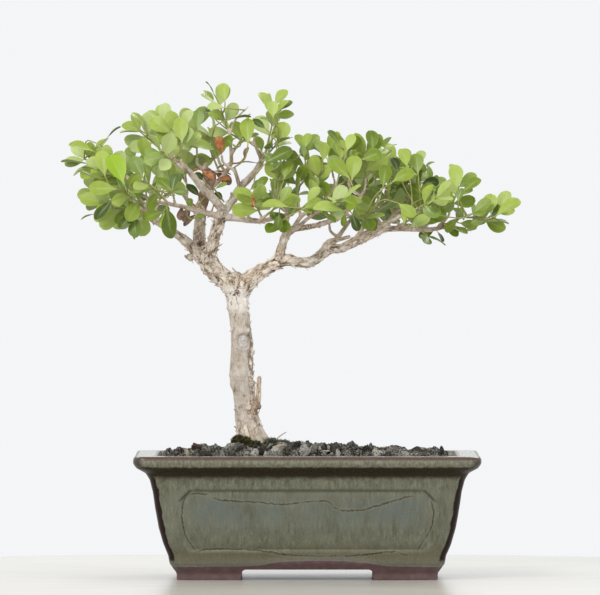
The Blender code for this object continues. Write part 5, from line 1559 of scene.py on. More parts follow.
def thin_wood(shoots):
    """Places on thin limbs and twigs where a side shoot may start."""
    places = [p for stations in LIMBS.values() for p in curve_through(stations, 4) if p[3] < THIN_WOOD]
    for shoot in shoots:
        places += curve_through(shoot["twig"], 3)[2:]
    return places


def plan_seen(branches, placed, shoots):
    """Gives each seen leaf a stalk, at the depth nearest its own where it has room."""
    places = thin_wood(shoots)
    for shoot in shoots:
        places += curve_through([shoot["twig"][-1], *shoot["stem"]], 3)
    tree = search_tree(places)
    seen = []
    for index, row in enumerate(FRONT_LEAVES + SEEN_LEAVES):
        number = SEEN_NUMBERS + index
        best = None
        strictness = OWN_DEPTH if index < len(FRONT_LEAVES) else ANY_DEPTH
        for shift in DEPTH_SHIFTS:
            leaf = seen_leaf(row, shift)
            stalk = stalk_to(leaf, tree, places)
            length = (leaf.foot - Vector(stalk[0][:3])).length
            cost = length + strictness * abs(shift)
            if length > 0.5 and (best is None or cost < best[0]) and fits(leaf, number, branches, placed):
                best = (cost, stalk, leaf)
        if best is None:
            print("no room for seen leaf", index, row[:4])
            continue
        _, stalk, leaf = best
        branches.add(stalk, number)
        branches.freeze()
        place_leaf(leaf, number, placed)
        seen.append({"stem": stalk, "leaves": [leaf], "tint": row[6]})
    return seen


seen_leaves = plan_seen(branches, placed, shoots)
print(len(seen_leaves), "leaves placed as they are seen")

# %% Layout: the pads' outlines
# The pads' outlines as the front view shows them, in pixels, and the gaps in them that show the sky.
PAD_OUTLINES = [
    [
        (84, 155), (94, 151), (100, 142), (110, 147), (115, 154), (133, 155), (137, 142), (142, 138),
        (140, 128), (129, 122), (133, 114), (143, 117), (153, 111), (161, 105), (174, 112), (187, 115),
        (197, 110), (206, 113), (208, 104), (205, 92), (214, 86), (225, 86), (229, 95), (226, 104),
        (229, 118), (239, 123), (252, 120), (257, 130), (256, 138), (243, 141), (230, 146), (216, 150),
        (207, 158), (201, 168), (193, 180), (188, 195), (183, 207), (178, 210), (174, 222), (163, 220),
        (160, 210), (145, 221), (137, 230), (128, 226), (114, 224), (98, 216), (84, 206), (82, 198),
        (92, 192), (92, 184), (86, 176),
    ],
    [
        (262, 96), (272, 101), (283, 92), (290, 103), (291, 112), (284, 120), (286, 134), (296, 150),
        (304, 152), (303, 138), (309, 136), (312, 150), (322, 148), (328, 138), (340, 142), (352, 137),
        (358, 146), (368, 135), (376, 142), (390, 147), (398, 152), (412, 157), (422, 160), (430, 170),
        (437, 180), (443, 192), (446, 200), (452, 200), (453, 172), (459, 172), (462, 186), (474, 181),
        (468, 192), (470, 202), (479, 209), (486, 212), (490, 198), (498, 196), (514, 202), (504, 216),
        (500, 224), (478, 227), (456, 226), (444, 232), (425, 234), (410, 226), (395, 227), (372, 230),
        (350, 222), (330, 216), (312, 214), (292, 214), (283, 222), (275, 222), (268, 215), (244, 212),
        (234, 206), (240, 196), (252, 186), (264, 172), (265, 150), (269, 136), (260, 122),
    ],
]  # fmt: skip
SKY_GAPS = [
    [
        (121, 132), (139, 132), (146, 139), (139, 143), (134, 152), (126, 154), (113, 153), (107, 148),
        (110, 140),
    ],
    [
        (147, 166), (158, 163), (166, 170), (157, 181), (148, 182),
    ],
    [
        (206, 167), (208, 152), (215, 148), (231, 152), (245, 139), (256, 146), (260, 158), (254, 172),
        (238, 182), (234, 192), (220, 197), (212, 190),
    ],
    [
        (289, 132), (299, 131), (300, 144), (296, 150), (289, 146),
    ],
    [
        (316, 130), (325, 130), (321, 148), (314, 146),
    ],
    [
        (443, 168), (451, 168), (448, 196), (441, 186),
    ],
]  # fmt: skip


def within(outline, point):
    """True if the picture of a place lies inside an outline."""
    px, py, _ = in_picture(point)
    odd = False
    for (ax, ay), (bx, by) in zip(outline, outline[1:] + outline[:1]):
        if (ay > py) != (by > py) and px < ax + (py - ay) * (bx - ax) / (by - ay):
            odd = not odd
    return odd


def in_pads(*places):
    """True if all the places show inside a pad and outside its gaps."""
    for place in places:
        if not any(within(outline, place) for outline in PAD_OUTLINES):
            return False
        if any(within(gap, place) for gap in SKY_GAPS):
            return False
    return True


def leaf_in_pads(leaf):
    return in_pads(leaf.point(1, 0), leaf.point(0.66, 0.28), leaf.point(0.66, -0.28))


print(sum(leaf_in_pads(leaf) for leaf in rolled), "measured leaves inside the outlines")

# %% Layout: side shoots by trial
FILLING_TRIES, FILLING_LEAF_TRIES, FILLING_SEED = 2600, 5, 4
FILLING_FRONT_Y, DEEPEST_Y = -15, 80
STEM_CLEARANCE = 0.7
FILLING_SWAY = 1.1


def propose_shoot(places, chance):
    """A side shoot somewhere on thin wood, heading outwards and up."""
    start = places[chance.randrange(len(places))]
    root = Vector(start[:3])
    centre = PAD_CENTRES[0] if root.x < PAD_BORDER_X else PAD_CENTRES[1]
    outward = (root - centre) / 40
    direction = (outward + UP * 0.45 + any_way(chance, rising=0.7) * 0.8).normalized()
    bend = (direction + UP * 0.35).normalized()
    foot = root + direction * chance.uniform(3, 11)
    tip = foot + bend * chance.uniform(8, 15)
    first = min(1.15, 0.8 * start[3])
    middle = root.lerp(foot, 0.5) + direction * 0.3
    twig = [(*root, first), (*middle, 0.95 * first), (*foot, min(first, 0.95))]
    return twig, stem_stations(foot, tip), chance.choice((1, 2, 2, 3))


def stick_clear(twig, stem, branches):
    """True if a new twig, off its root, and its stem clear all the wood and stems."""
    root, foot, tip = (Vector(station[:3]) for station in (twig[0], twig[2], stem[1]))
    points = [a.lerp(b, t) for a, b in ((root, foot), (foot, tip)) for t in (0.45, 0.7, 1)]
    return branches.clear_of(np.array(points), None, STEM_CLEARANCE + STEM_RADII[0])


def crosses_leaf(stem, placed):
    """True if a new stem runs through a leaf that is there."""
    start, end = Vector(stem[0][:3]), Vector(stem[1][:3])
    way = end - start
    for _, other, centre, whole, _ in placed:
        near = (centre - start).length < other.length + way.length
        if near and whole.ray_cast(start, way.normalized(), way.length)[0]:
            return True
    return False


def grow_filling(branches, placed, shoots):
    """Side shoots kept where they and their leaves find room."""
    chance = random.Random(FILLING_SEED)
    places, filling = thin_wood(shoots), []
    for _ in range(FILLING_TRIES):
        twig, stem, pairs = propose_shoot(places, chance)
        foot, tip = Vector(stem[0][:3]), Vector(stem[1][:3])
        if not FILLING_FRONT_Y < tip.y < DEEPEST_Y or not in_pads(foot, tip, tip + (tip - foot) * 0.6):
            continue
        if not stick_clear(twig, stem, branches):
            continue
        if crosses_leaf(stem, placed) or crosses_leaf(twig[1:], placed):
            continue
        number = len(shoots) + len(filling)
        found = []
        for pair in range(pairs - 1, -1, -1):
            for side in (1, -1):
                options = leaf_options(stem, pair, max(pairs, 2), side, chance, FILLING_SWAY)
                for _, leaf in zip(range(FILLING_LEAF_TRIES), options):
                    if leaf_in_pads(leaf) and fits(leaf, number, branches, placed + found):
                        place_leaf(leaf, number, found)
                        break
        if len(found) < pairs + 1:
            continue
        branches.add(twig, WOOD)
        branches.add(stem, number)
        branches.freeze()
        placed += found
        filling.append({"twig": twig, "stem": stem, "leaves": [row[1] for row in found]})
    return filling


filling = grow_filling(branches, placed, shoots)
print(len(filling), "side shoots,", sum(len(shoot["leaves"]) for shoot in filling), "leaves")

# %% [markdown]
# ## Bark
#
# The sticks are melted into one skin by a voxel remesh. After that no point knows which limb it came
# from, so each looks up the nearest place on the table of limbs: that gives it a radius, a way along the
# limb and a distance along it. Noise that is drawn out along the limb makes the fissures, cells make the
# flat scales of bark, and both move the skin itself, so the outline is rough too.

# %% Wood: one skin
VOXEL = 0.72
LIMB_SIDES, LIMB_STEPS, TWIG_SIDES = 14, 5, 8
SCAR_PLACE, SCAR_RADII = (-34.4, -7.2, 170.5), (5.2, 6.4)
KNOTS = [((-42.2, -1.0, 146), (2.6, 3.4, 3.4)), ((-30.5, 1, 104), (6.0, 6.0, 5.0)),
         ((-69.0, -0.5, 233.5), (4.6, 3.6, 4.4)), ((-72.6, -0.8, 230.8), (2.3, 2.2, 2.6)),
         ((-39.6, 0, 214.5), (5.6, 5.4, 6.2)), ((-22.9, -5.4, 123.0), (1.9, 1.3, 2.6))]
PEELED_STRIP = [((-25.2, -5.0, 121.5), 1.3), ((-24.3, -5.3, 127), 1.4), ((-23.7, -5.5, 134), 1.8),
                ((-23.0, -5.5, 141), 2.3), ((-22.7, -5.5, 145.3), 1.7)]
STRIP_THICKNESS = 1.4


def limb_lines():
    """Every limb and twig as a fine line, with its own number."""
    lines = [curve_through(stations, LIMB_STEPS) for stations in LIMBS.values()]
    twigs = [twig for twig, _ in dry_leaves] + [shoot["twig"] for shoot in shoots + filling]
    return lines + [curve_through(twig, 4) for twig in twigs]


def melt_wood(lines, finish):
    heap = Heap()
    for number, line in enumerate(lines):
        heap.add(*stick(line, LIMB_SIDES if number < len(LIMBS) else TWIG_SIDES))
    ball, faces = rough_ball(2)
    for centre, radii in KNOTS:
        heap.add(ball * radii + centre, faces)
    turns = np.linspace(0, 2 * np.pi, 10, endpoint=False)
    flat = np.column_stack([np.cos(turns), np.sin(turns), 0 * turns])
    heap.add(*loft([flat * (half, STRIP_THICKNESS / 2, 0) + centre for centre, half in PEELED_STRIP]))
    skin = heap.piece("bark", finish)
    melt = skin.modifiers.new("melt", "REMESH")
    melt.mode = "VOXEL"
    melt.voxel_size = VOXEL * MM
    return apply_modifiers(skin)


class Bearings:
    """Looks up, for any place on the skin, the limb under it."""

    def __init__(self, lines):
        rows = []
        for number, line in enumerate(lines):
            fine = np.array(curve_through(line, 2) if number < len(LIMBS) else line)
            run = np.concatenate([[0], np.cumsum(np.linalg.norm(np.diff(fine[:, :3], axis=0), axis=1))])
            for place, frame_here, distance in zip(fine, frames_along(fine), run):
                rows.append((*place, *frame_here[0], *frame_here[1], *frame_here[2], distance, number))
        self.rows = np.array(rows)
        self.tree = search_tree(rows)

    def nearest(self, points):
        """The row of the limb whose surface each point lies nearest."""
        chosen = []
        for point in points:
            found = self.tree.find_n(point, 10)
            chosen.append(min(found, key=lambda hit: abs(hit[2] - self.rows[hit[1]][3]))[1])
        return self.rows[chosen]


# %% Wood: fissures, scales and the scar
FISSURE_SIZE, FISSURE_STRETCH = 1.7, 3.6
SCALE_SIZE, SCALE_STRETCH = 3.0, 4.6
ROUGH_LIMBS = {
    "left_fork": 1.0, "right_fork": 1.0, "front_stem": 1.0, "rear_stem": 0.9, "riser": 0.8, "spur": 0.8,
    "low_left": 0.7, "right_reach": 0.8, "trunk": 0.25, "crown_left": 0.5, "crown_right": 0.5,
    "root_right": 0.5, "root_back": 0.5, "stub": 1.0}
OTHER_LIMBS, TWIGS = 0.32, 0.08
RUSTY_PLACE = np.array((-22.9, -6.0, 122.5))


def bark_places(points, rows):
    """Each point in its limb's own space: two ways across the limb, and the distance along it."""
    offset = points - rows[:, :3]
    side = (offset * rows[:, 7:10]).sum(1)
    other = (offset * rows[:, 10:13]).sum(1)
    return np.column_stack([side, other, rows[:, 13] + (offset * rows[:, 4:7]).sum(1)])


def roughness_of(rows, points):
    """How shaggy the bark is at each point, from 0 to 1."""
    names = list(LIMBS)
    by_number = [ROUGH_LIMBS.get(name, OTHER_LIMBS) for name in names]
    share = np.array([by_number[int(n)] if n < len(names) else TWIGS for n in rows[:, 14]])
    crotch = np.exp(-(((points[:, 2] - 206) / 16) ** 2)) * (rows[:, 14] == 0)
    foot = 0.7 * smooth_share(-points[:, 2], -128, -104) * (rows[:, 14] == 0)
    return np.maximum.reduce([share, crotch, foot, 0.8 * flaking(points, rows)])


def flaking(points, rows):
    """The strip down the trunk's right side where old dark bark flakes off."""
    side = (points[:, 0] - rows[:, 0]) / rows[:, 3]
    height = smooth_share(points[:, 2], 104, 128) * smooth_share(-points[:, 2], -192, -178)
    return (rows[:, 14] == 0) * smooth_share(side, 0.35, 0.7) * height


# %% Wood: raising the bark
def raise_bark(skin, bearings):
    points, normals = points_of(skin), normals_of(skin)
    rows = bearings.nearest(points)
    places = bark_places(points, rows)
    shaggy = roughness_of(rows, points)
    radius = rows[:, 3]
    height, tone = np.zeros(len(points)), np.zeros(len(points))
    for i, (place, number) in enumerate(zip(places, rows[:, 14])):
        own = Vector((place[0], place[1], place[2] / FISSURE_STRETCH + 13.7 * number))
        ridge = 1 - 2 * abs(noise.noise(own / FISSURE_SIZE))
        fine = noise.noise(Vector((place[0], place[1], place[2] / 1.9)) / 0.8 + UP * number)
        flat = Vector((place[0], place[1], place[2] / SCALE_STRETCH * 2.2 + 7.1 * number)) / SCALE_SIZE
        distances, centres = noise.voronoi(flat)
        lifted = noise.cell(centres[0] * 9.1)
        edge = min(1.0, (distances[1] - distances[0]) * 3.5)
        swell = noise.noise(Vector(points[i]) / 9)
        plate = (lifted - 0.35) * edge
        rough = shaggy[i]
        height[i] = 0.26 * ridge + (0.12 + 0.1 * rough) * fine + rough * (0.95 * plate - 0.35 * (1 - edge))
        height[i] += 0.5 * swell
        tone[i] = 0.22 * ridge + (0.16 + 0.3 * rough) * fine + rough * (0.55 * plate + 0.5 * edge - 0.35)
        tone[i] += 0.3 * swell + 0.04
    depth = np.clip(radius / 5.5, 0.16, 1.0)
    height *= depth
    sunk, ring, crack = scar_share(points)
    height = height * (1 - 0.55 * sunk) + 0.8 * ring - 0.25 * sunk - 0.35 * crack
    move_points(skin, points + normals * height[:, None])
    rust = np.exp(-((np.linalg.norm(points - RUSTY_PLACE, axis=1) / 3.0) ** 2))
    crack = np.maximum(crack, flaking(points, rows) * smooth_share(-tone, -0.45, 0.05))
    keep_numbers(skin, tone=tone, shaggy=shaggy, girth=radius, scar=sunk, crack=crack, rust=rust)
    return rows


def scar_share(points):
    """How much each point belongs to the scar's disc, to the lip round it and to the crack between."""
    (x, y, z), (wide, tall) = SCAR_PLACE, SCAR_RADII
    gap = np.hypot((points[:, 0] - x) / wide, (points[:, 2] - z) / tall)
    front = points[:, 1] < y + 5
    disc = front * smooth_share(-gap, -0.8, -0.66)
    return disc, front * np.exp(-(((gap - 1.0) / 0.2) ** 2)), front * np.exp(-(((gap - 0.78) / 0.09) ** 2))


# %% Wood: loose shreds
SHRED_TRIES = 3000
SHRED_SEED = 8
CROTCH = (-39.6, 207)


def curl_shred(root, along, up, length, width, lift, curl):
    """Points and faces of one slip of bark: four rows, thin, tapering and curling away."""
    across = unit(np.cross(along, up))
    points = []
    place, angle = root - 0.25 * up, lift
    for row, share in enumerate((0.8, 1.0, 0.9, 0.5)):
        heading = along * math.cos(angle) + up * math.sin(angle)
        face = up * math.cos(angle) - along * math.sin(angle)
        half, thick = across * width * share / 2, face * (0.17 - 0.03 * row)
        points += [place - half - thick, place + half - thick, place + half + thick, place - half + thick]
        place = place + heading * length / 3
        angle += curl
    return loft([np.array(points[i : i + 4]) for i in range(0, 16, 4)])


def shred_bark(skin, rows, finish):
    """Slips of bark set into the skin where it is shaggy, most of them lying almost flat."""
    chance = random.Random(SHRED_SEED)
    points, normals = points_of(skin), normals_of(skin)
    shaggy = roughness_of(rows, points)
    heap = Heap("tone", "shaggy", "girth", "scar", "crack", "rust")
    for _ in range(SHRED_TRIES):
        i = chance.randrange(len(points))
        if rows[i, 3] < 1.7 or chance.random() > shaggy[i] ** 1.3:
            continue
        up, ahead = normals[i], rows[i, 4:7]
        along = ahead * chance.choice((1, 1, -1)) + 0.5 * chance.uniform(-1, 1) * np.cross(ahead, up)
        if abs(points[i, 0] - CROTCH[0]) < 7 and points[i, 2] > CROTCH[1] and chance.random() < 0.5:
            along = np.array((chance.uniform(-0.4, 0.4), chance.uniform(-0.3, 0.3), 1.0))
        along = unit(along - up * along.dot(up))
        small = 0.5 + 0.5 * min(1.0, rows[i, 3] / 5)
        length, width = chance.uniform(1.8, 4.8) * small, chance.uniform(1.0, 2.6) * small
        lift = math.radians(chance.choice((3, 6, 9, 12, 30)) + chance.uniform(-3, 4))
        curl = math.radians(chance.uniform(-8, 16))
        slip, faces = curl_shred(points[i], along, up, length, width, lift, curl)
        bare = {"tone": chance.uniform(0.0, 0.6), "scar": 0.0, "crack": 0.0, "rust": 0.0}
        heap.add(slip, faces, shaggy=shaggy[i], girth=rows[i, 3], **bare)
    return heap.piece("bark_shreds", finish, crisp=40)


# %% Bark: the finish
PALE_BARK = [(0.1, (0.13, 0.095, 0.072)), (0.28, (0.36, 0.295, 0.238)), (0.46, (0.505, 0.442, 0.375)),
             (0.8, (0.67, 0.615, 0.55))]
# Shaggy bark: its wide dark share, in the cracks between scales, is partly its own dark, partly painted
# shade
SHAGGY_BARK = [(0.19, (0.112, 0.075, 0.053)), (0.37, (0.44, 0.34, 0.254)), (0.54, (0.715, 0.615, 0.508)),
               (0.83, (0.9, 0.83, 0.732))]
YOUNG_BARK = [(0.22, (0.2, 0.135, 0.09)), (0.46, (0.54, 0.43, 0.33)), (0.78, (0.79, 0.69, 0.575))]
BLEACHED_BARK = (0.83, 0.79, 0.73)
HEALED_WOOD = [(0.36, (0.38, 0.345, 0.335)), (0.5, (0.53, 0.5, 0.49)), (0.64, (0.7, 0.67, 0.655))]
FOOT_STAIN = [(0.32, (0.1, 0.088, 0.045)), (0.5, (0.37, 0.31, 0.19)), (0.7, (0.56, 0.5, 0.36))]


def mix_bark():
    f = Finish("weathered boxwood bark", Specular_IOR_Level=0.25)
    tone, shaggy, girth = f.number("tone"), f.number("shaggy"), f.number("girth")
    grain = f.cloud(0.7, detail=4, roughness=0.65)
    patch = f.cloud(7, detail=3)
    level = f.scaled(tone, 0.55, f.scaled(grain, 0.75, 0.06))
    f.colour = f.over(f.ramp(level, PALE_BARK), f.rise(shaggy, 0.3, 0.85), f.ramp(level, SHAGGY_BARK))
    f.coat(f.ramp(level, YOUNG_BARK), (girth, 3.0, 1.6))
    f.coat((0.3, 0.225, 0.15), (patch, 0.56, 0.72), 0.42)
    height = f.scaled(patch, 14.0, f.z)
    bleached = f.both((height, 196, 204), (height, 220, 213), (girth, 6.8, 7.6), 0.75)
    f.coat(BLEACHED_BARK, bleached, (level, 0.18, 0.42))
    f.coat(f.ramp(f.cloud(1.5, detail=4), HEALED_WOOD), f.number("scar"), f.scaled(grain, 1.1, 0.2))
    f.coat((0.2, 0.16, 0.12), f.number("crack"), 0.5)
    f.coat((0.19, 0.105, 0.058), f.number("rust"), 0.85)
    f.coat(f.ramp(grain, FOOT_STAIN), (f.scaled(patch, 26.0, f.z), 122, 102), 0.6)
    f.coat((0.06, 0.07, 0.02), (f.scaled(patch, 20.0, f.z), 112, 98), (f.cloud(3, detail=3), 0.46, 0.6), 0.8)
    f.give("Base Color", f.colour)
    f.give("Roughness", f.scaled(grain, 0.2, 0.72))
    f.relief(grain, 0.35)
    return f.material


# %% Wood: melted, raised and seated
bark_finish = mix_bark()
lines = limb_lines()
bark = melt_wood(lines, bark_finish)
bark_rows = raise_bark(bark, Bearings(lines))
shreds = shred_bark(bark, bark_rows, bark_finish)
settle(shade(bark, 75), "bark", "wood")
settle(shreds, "bark")

# %% [markdown]
# ## Moss and stalks
#
# Moss creeps up the foot of the trunk: a dark hump of it on the left, and a grey-green fuzz on the right.
# It is made of hundreds of short solid blades that stand out from a low mound. A few dry stalks lie on top.

# %% Soil: moss and stalks
# Each mound's middle, its radii, its count of blades and how grey they are
MOSS_MOUNDS = [
    (-38, -8.5, 97.5, 5.2, 4.2, 5, 420, 0), (-33, -12.5, 97, 5, 3, 4, 320, 0.1),
    (-14, -7, 96, 6, 5, 3.9, 420, 0.8), (-6, -9, 94.8, 7.5, 5, 4, 420, 1),
    (3, -10, 93.6, 5.5, 5, 3.6, 260, 1), (-25.5, -13, 94.5, 5.6, 2.6, 3.6, 260, 0.3),
]  # fmt: skip
# Each stalk's two ends and its radius
DRY_STALKS = [
    (-10.5, -12, 99.5, -3.2, -14, 104.8, 0.42), (-13, -44, 94.5, -4.6, -47, 96.2, 0.6),
    (20, -50, 91.5, 28, -54, 92, 0.45), (-64, -56, 90, -57, -60, 90.6, 0.4), (66, 10, 93, 78, 4, 93.4, 0.5),
    (-46, 30, 95, -36, 36, 96, 0.5),
]  # fmt: skip
MOSS_SEED = 21
DARK_MOSS = [(0.35, (0.022, 0.019, 0.01)), (0.52, (0.066, 0.058, 0.024)), (0.68, (0.17, 0.14, 0.048))]
GREY_MOSS = [(0.35, (0.05, 0.052, 0.035)), (0.52, (0.14, 0.145, 0.1)), (0.68, (0.29, 0.3, 0.22))]


def grow_moss(finish):
    chance = random.Random(MOSS_SEED)
    heap = Heap("greyness")
    ball, faces = rough_ball(2)
    for *sizes, count, greyness in MOSS_MOUNDS:
        centre, radii = np.array(sizes[:3]), np.array(sizes[3:])
        heap.add(knock_lump(ball, chance) * radii * 0.85 + centre, faces, greyness=greyness)
        for _ in range(int(count)):
            out = any_way(chance)
            out.z = abs(out.z)
            out.normalize()
            root = np.array(out) * radii * 0.75 + centre
            way = (out + any_way(chance, lift=0.4) * 0.45).normalized()
            tip = root + np.array(way) * chance.uniform(1.0, 2.6)
            blade = [(*root, 0.26), (*((root + tip) / 2), 0.22), (*tip, 0.07)]
            heap.add(*stick(blade, 4), greyness=min(1.0, max(0.0, greyness + chance.uniform(-0.3, 0.3))))
    return heap.piece("moss", finish, crisp=40)


def mix_moss():
    f = Finish("moss", Specular_IOR_Level=0.2, Roughness=0.9)
    tufts = f.cloud(2.2, detail=4)
    f.colour = f.ramp(tufts, DARK_MOSS)
    f.coat(f.ramp(tufts, GREY_MOSS), (f.number("greyness"), 0.2, 0.8))
    f.give("Base Color", f.colour)
    f.relief(tufts, 0.5)
    return f.material


def mix_stalk():
    f = Finish("dry stalk", Specular_IOR_Level=0.3, Roughness=0.8)
    fibres = f.cloud(0.8, detail=4, along=(5, 1, 1))
    f.give("Base Color", f.ramp(fibres, [(0.3, (0.3, 0.24, 0.18)), (0.7, (0.6, 0.53, 0.43))]))
    f.relief(fibres, 0.2)
    return f.material


moss = grow_moss(mix_moss())
settle(moss, "soil")
stalks = Heap()
for *ends, radius in DRY_STALKS:
    start, end = np.array(ends[:3]), np.array(ends[3:])
    middle = (start + end) / 2 + (0, 0, 0.5)
    stalks.add(*stick(curve_through([(*start, radius), (*middle, radius), (*end, radius * 0.7)], 4), 7))
settle(stalks.piece("dry_stalks", mix_stalk()), "soil")

# %% [markdown]
# ## Leaves
#
# A boxwood leaf is a small thick spoon: narrow at its stalk, widest past its middle, round or faintly
# notched at the tip, glossy above and paler and duller beneath, with one pale rib. Each leaf here is a
# closed blade of two faces on the same grid of rows and columns. Its cup, its droop, a slight twist and
# a wavy edge are drawn by chance for each leaf, but the measured place, length and tilt are kept.

# %% Leaves: the blade
BLADE_ROWS = [0.0, 0.05, 0.11, 0.19, 0.29, 0.4, 0.51, 0.61, 0.71, 0.8, 0.875, 0.935, 0.975, 0.998]
HALF_WIDTHS = [0.03, 0.03, 0.05, 0.105, 0.18, 0.238, 0.277, 0.296, 0.297, 0.272, 0.228, 0.168, 0.11, 0.052]
BLADE_COLUMNS = np.array([-1, -0.82, -0.58, -0.32, -0.1, 0.1, 0.32, 0.58, 0.82, 1.0])
REAL_THICKNESS = 0.42


def blade_faces():
    """Upper and lower faces by turns, then the rim between them."""
    upper, rim = grid(len(BLADE_ROWS), len(BLADE_COLUMNS))
    count = len(BLADE_ROWS) * len(BLADE_COLUMNS)
    faces = [side for face in upper for side in (face, [i + count for i in reversed(face)])]
    return faces + [[a + count, b + count, b, a] for a, b in zip(rim, rim[1:] + rim[:1])]


BLADE_FACES = blade_faces()
print(len(BLADE_FACES), "faces to a leaf")


def shape_blade(leaf, chance):
    """The points of one leaf: its upper face, then its lower one."""
    t = np.array(BLADE_ROWS)[:, None] + 0 * BLADE_COLUMNS
    half = np.array(HALF_WIDTHS)[:, None] * chance.uniform(0.9, 1.1)
    s = BLADE_COLUMNS[None] + 0 * t
    cup, droop = chance.uniform(0.08, 0.26), chance.uniform(0.05, 0.5)
    arch, twist = chance.uniform(-0.02, 0.05), chance.uniform(-0.3, 0.3)
    phase, wave = chance.uniform(0, 6.3), chance.uniform(0.0, 0.014)
    notch = chance.uniform(0.0, 0.035)
    rise = cup * half * np.abs(s) ** 1.7 - droop * np.clip(t - 0.55, 0, 1) ** 2 + arch * np.sin(np.pi * t)
    rise += wave * s * np.sin(9 * t + phase) - 0.012 * np.exp(-((s / 0.25) ** 2)) * smooth_share(t, 0.1, 0.3)
    ahead = t - notch * np.exp(-((s / 0.35) ** 2)) * smooth_share(t, 0.8, 1.0)
    turn = twist * t
    side = half * s * np.cos(turn) - rise * np.sin(turn)
    rise = rise * np.cos(turn) + half * s * np.sin(turn)
    along, across, normal = (np.array(v) for v in (leaf.along, leaf.across, leaf.normal))
    middle = ahead[..., None] * along + side[..., None] * across + rise[..., None] * normal
    middle = (np.array(leaf.foot) + middle * leaf.length).reshape(-1, 3)
    thick = REAL_THICKNESS / 2 * (1 - 0.45 * np.abs(s) ** 3).ravel()[:, None]
    return np.concatenate([middle + thick * normal, middle - thick * normal])


def leaf_numbers(leaf, chance, tint):
    """What each point of a leaf tells its finish: where it lies, which face it is on, and its tint."""
    hue = chance.random()
    t = np.repeat(BLADE_ROWS, len(BLADE_COLUMNS))
    rib = np.repeat(HALF_WIDTHS, len(BLADE_COLUMNS)) * np.tile(BLADE_COLUMNS, len(BLADE_ROWS)) * leaf.length
    upper = np.concatenate([np.ones(len(t)), np.zeros(len(t))])
    edge = np.tile(np.abs(BLADE_COLUMNS), len(BLADE_ROWS))
    both_faces = {"share": np.tile(t, 2), "rib": np.tile(rib, 2), "edge": np.tile(edge, 2)}
    return {**both_faces, "upper": upper, "tint": tint, "hue": hue}


# %% Leaves: tints, and one piece for each shoot
LOW_TINT_Z, HIGH_TINT_Z = 245, 305


def tint_of(leaf, chance):
    """0 for an old dark leaf, 1 for a young yellow-green one. Paler higher up and outwards: partly
    younger leaves there, partly painted shade on the lower, inner ones.
    """
    light = smooth_share(leaf.point(0.7, 0).z, LOW_TINT_Z, HIGH_TINT_Z)
    outward = smooth_share((leaf.point(0.7, 0) - PAD_CENTRES[leaf.foot.x > PAD_BORDER_X]).length, 15, 60)
    left = 0.1 if leaf.foot.x < PAD_BORDER_X else 0.0
    lowest = 0.02 + 0.25 * outward
    return float(np.clip(0.12 + left + 0.3 * light + 0.25 * outward + chance.gauss(0, 0.16), lowest, 0.9))


TOP_TINTS = [(0.0, (0.033, 0.061, 0.002)), (0.3, (0.162, 0.238, 0.01)), (0.6, (0.338, 0.434, 0.072)),
             (1.0, (0.476, 0.566, 0.245))]
LIME_TINT = (0.27, 0.42, 0.012)
COOL_TINTS = [(0.0, (0.038, 0.075, 0.022)), (0.5, (0.19, 0.28, 0.078)), (1.0, (0.4, 0.49, 0.2))]
UNDER_TINTS = [(0.0, (0.125, 0.172, 0.06)), (0.5, (0.25, 0.32, 0.105)), (1.0, (0.4, 0.48, 0.15))]
VEIN_AND_SHEEN_TINT = (0.47, 0.54, 0.26)


def dress_shoot(heap, shoot, chance):
    """Adds one shoot's green stem and its leaves to a heap."""
    stations = [(*station[:3], station[3] * 0.85) for station in shoot["stem"]]
    points, faces = stick(curve_through(stations, 4), 8)
    heap.add(points, faces, share=-1.0, rib=0.0, edge=0.0, upper=1.0, tint=chance.uniform(0.4, 0.7), hue=0.5)
    for leaf in shoot["leaves"]:
        tint = shoot.get("tint", tint_of(leaf, chance))
        heap.add(shape_blade(leaf, chance), BLADE_FACES, **leaf_numbers(leaf, chance, tint))


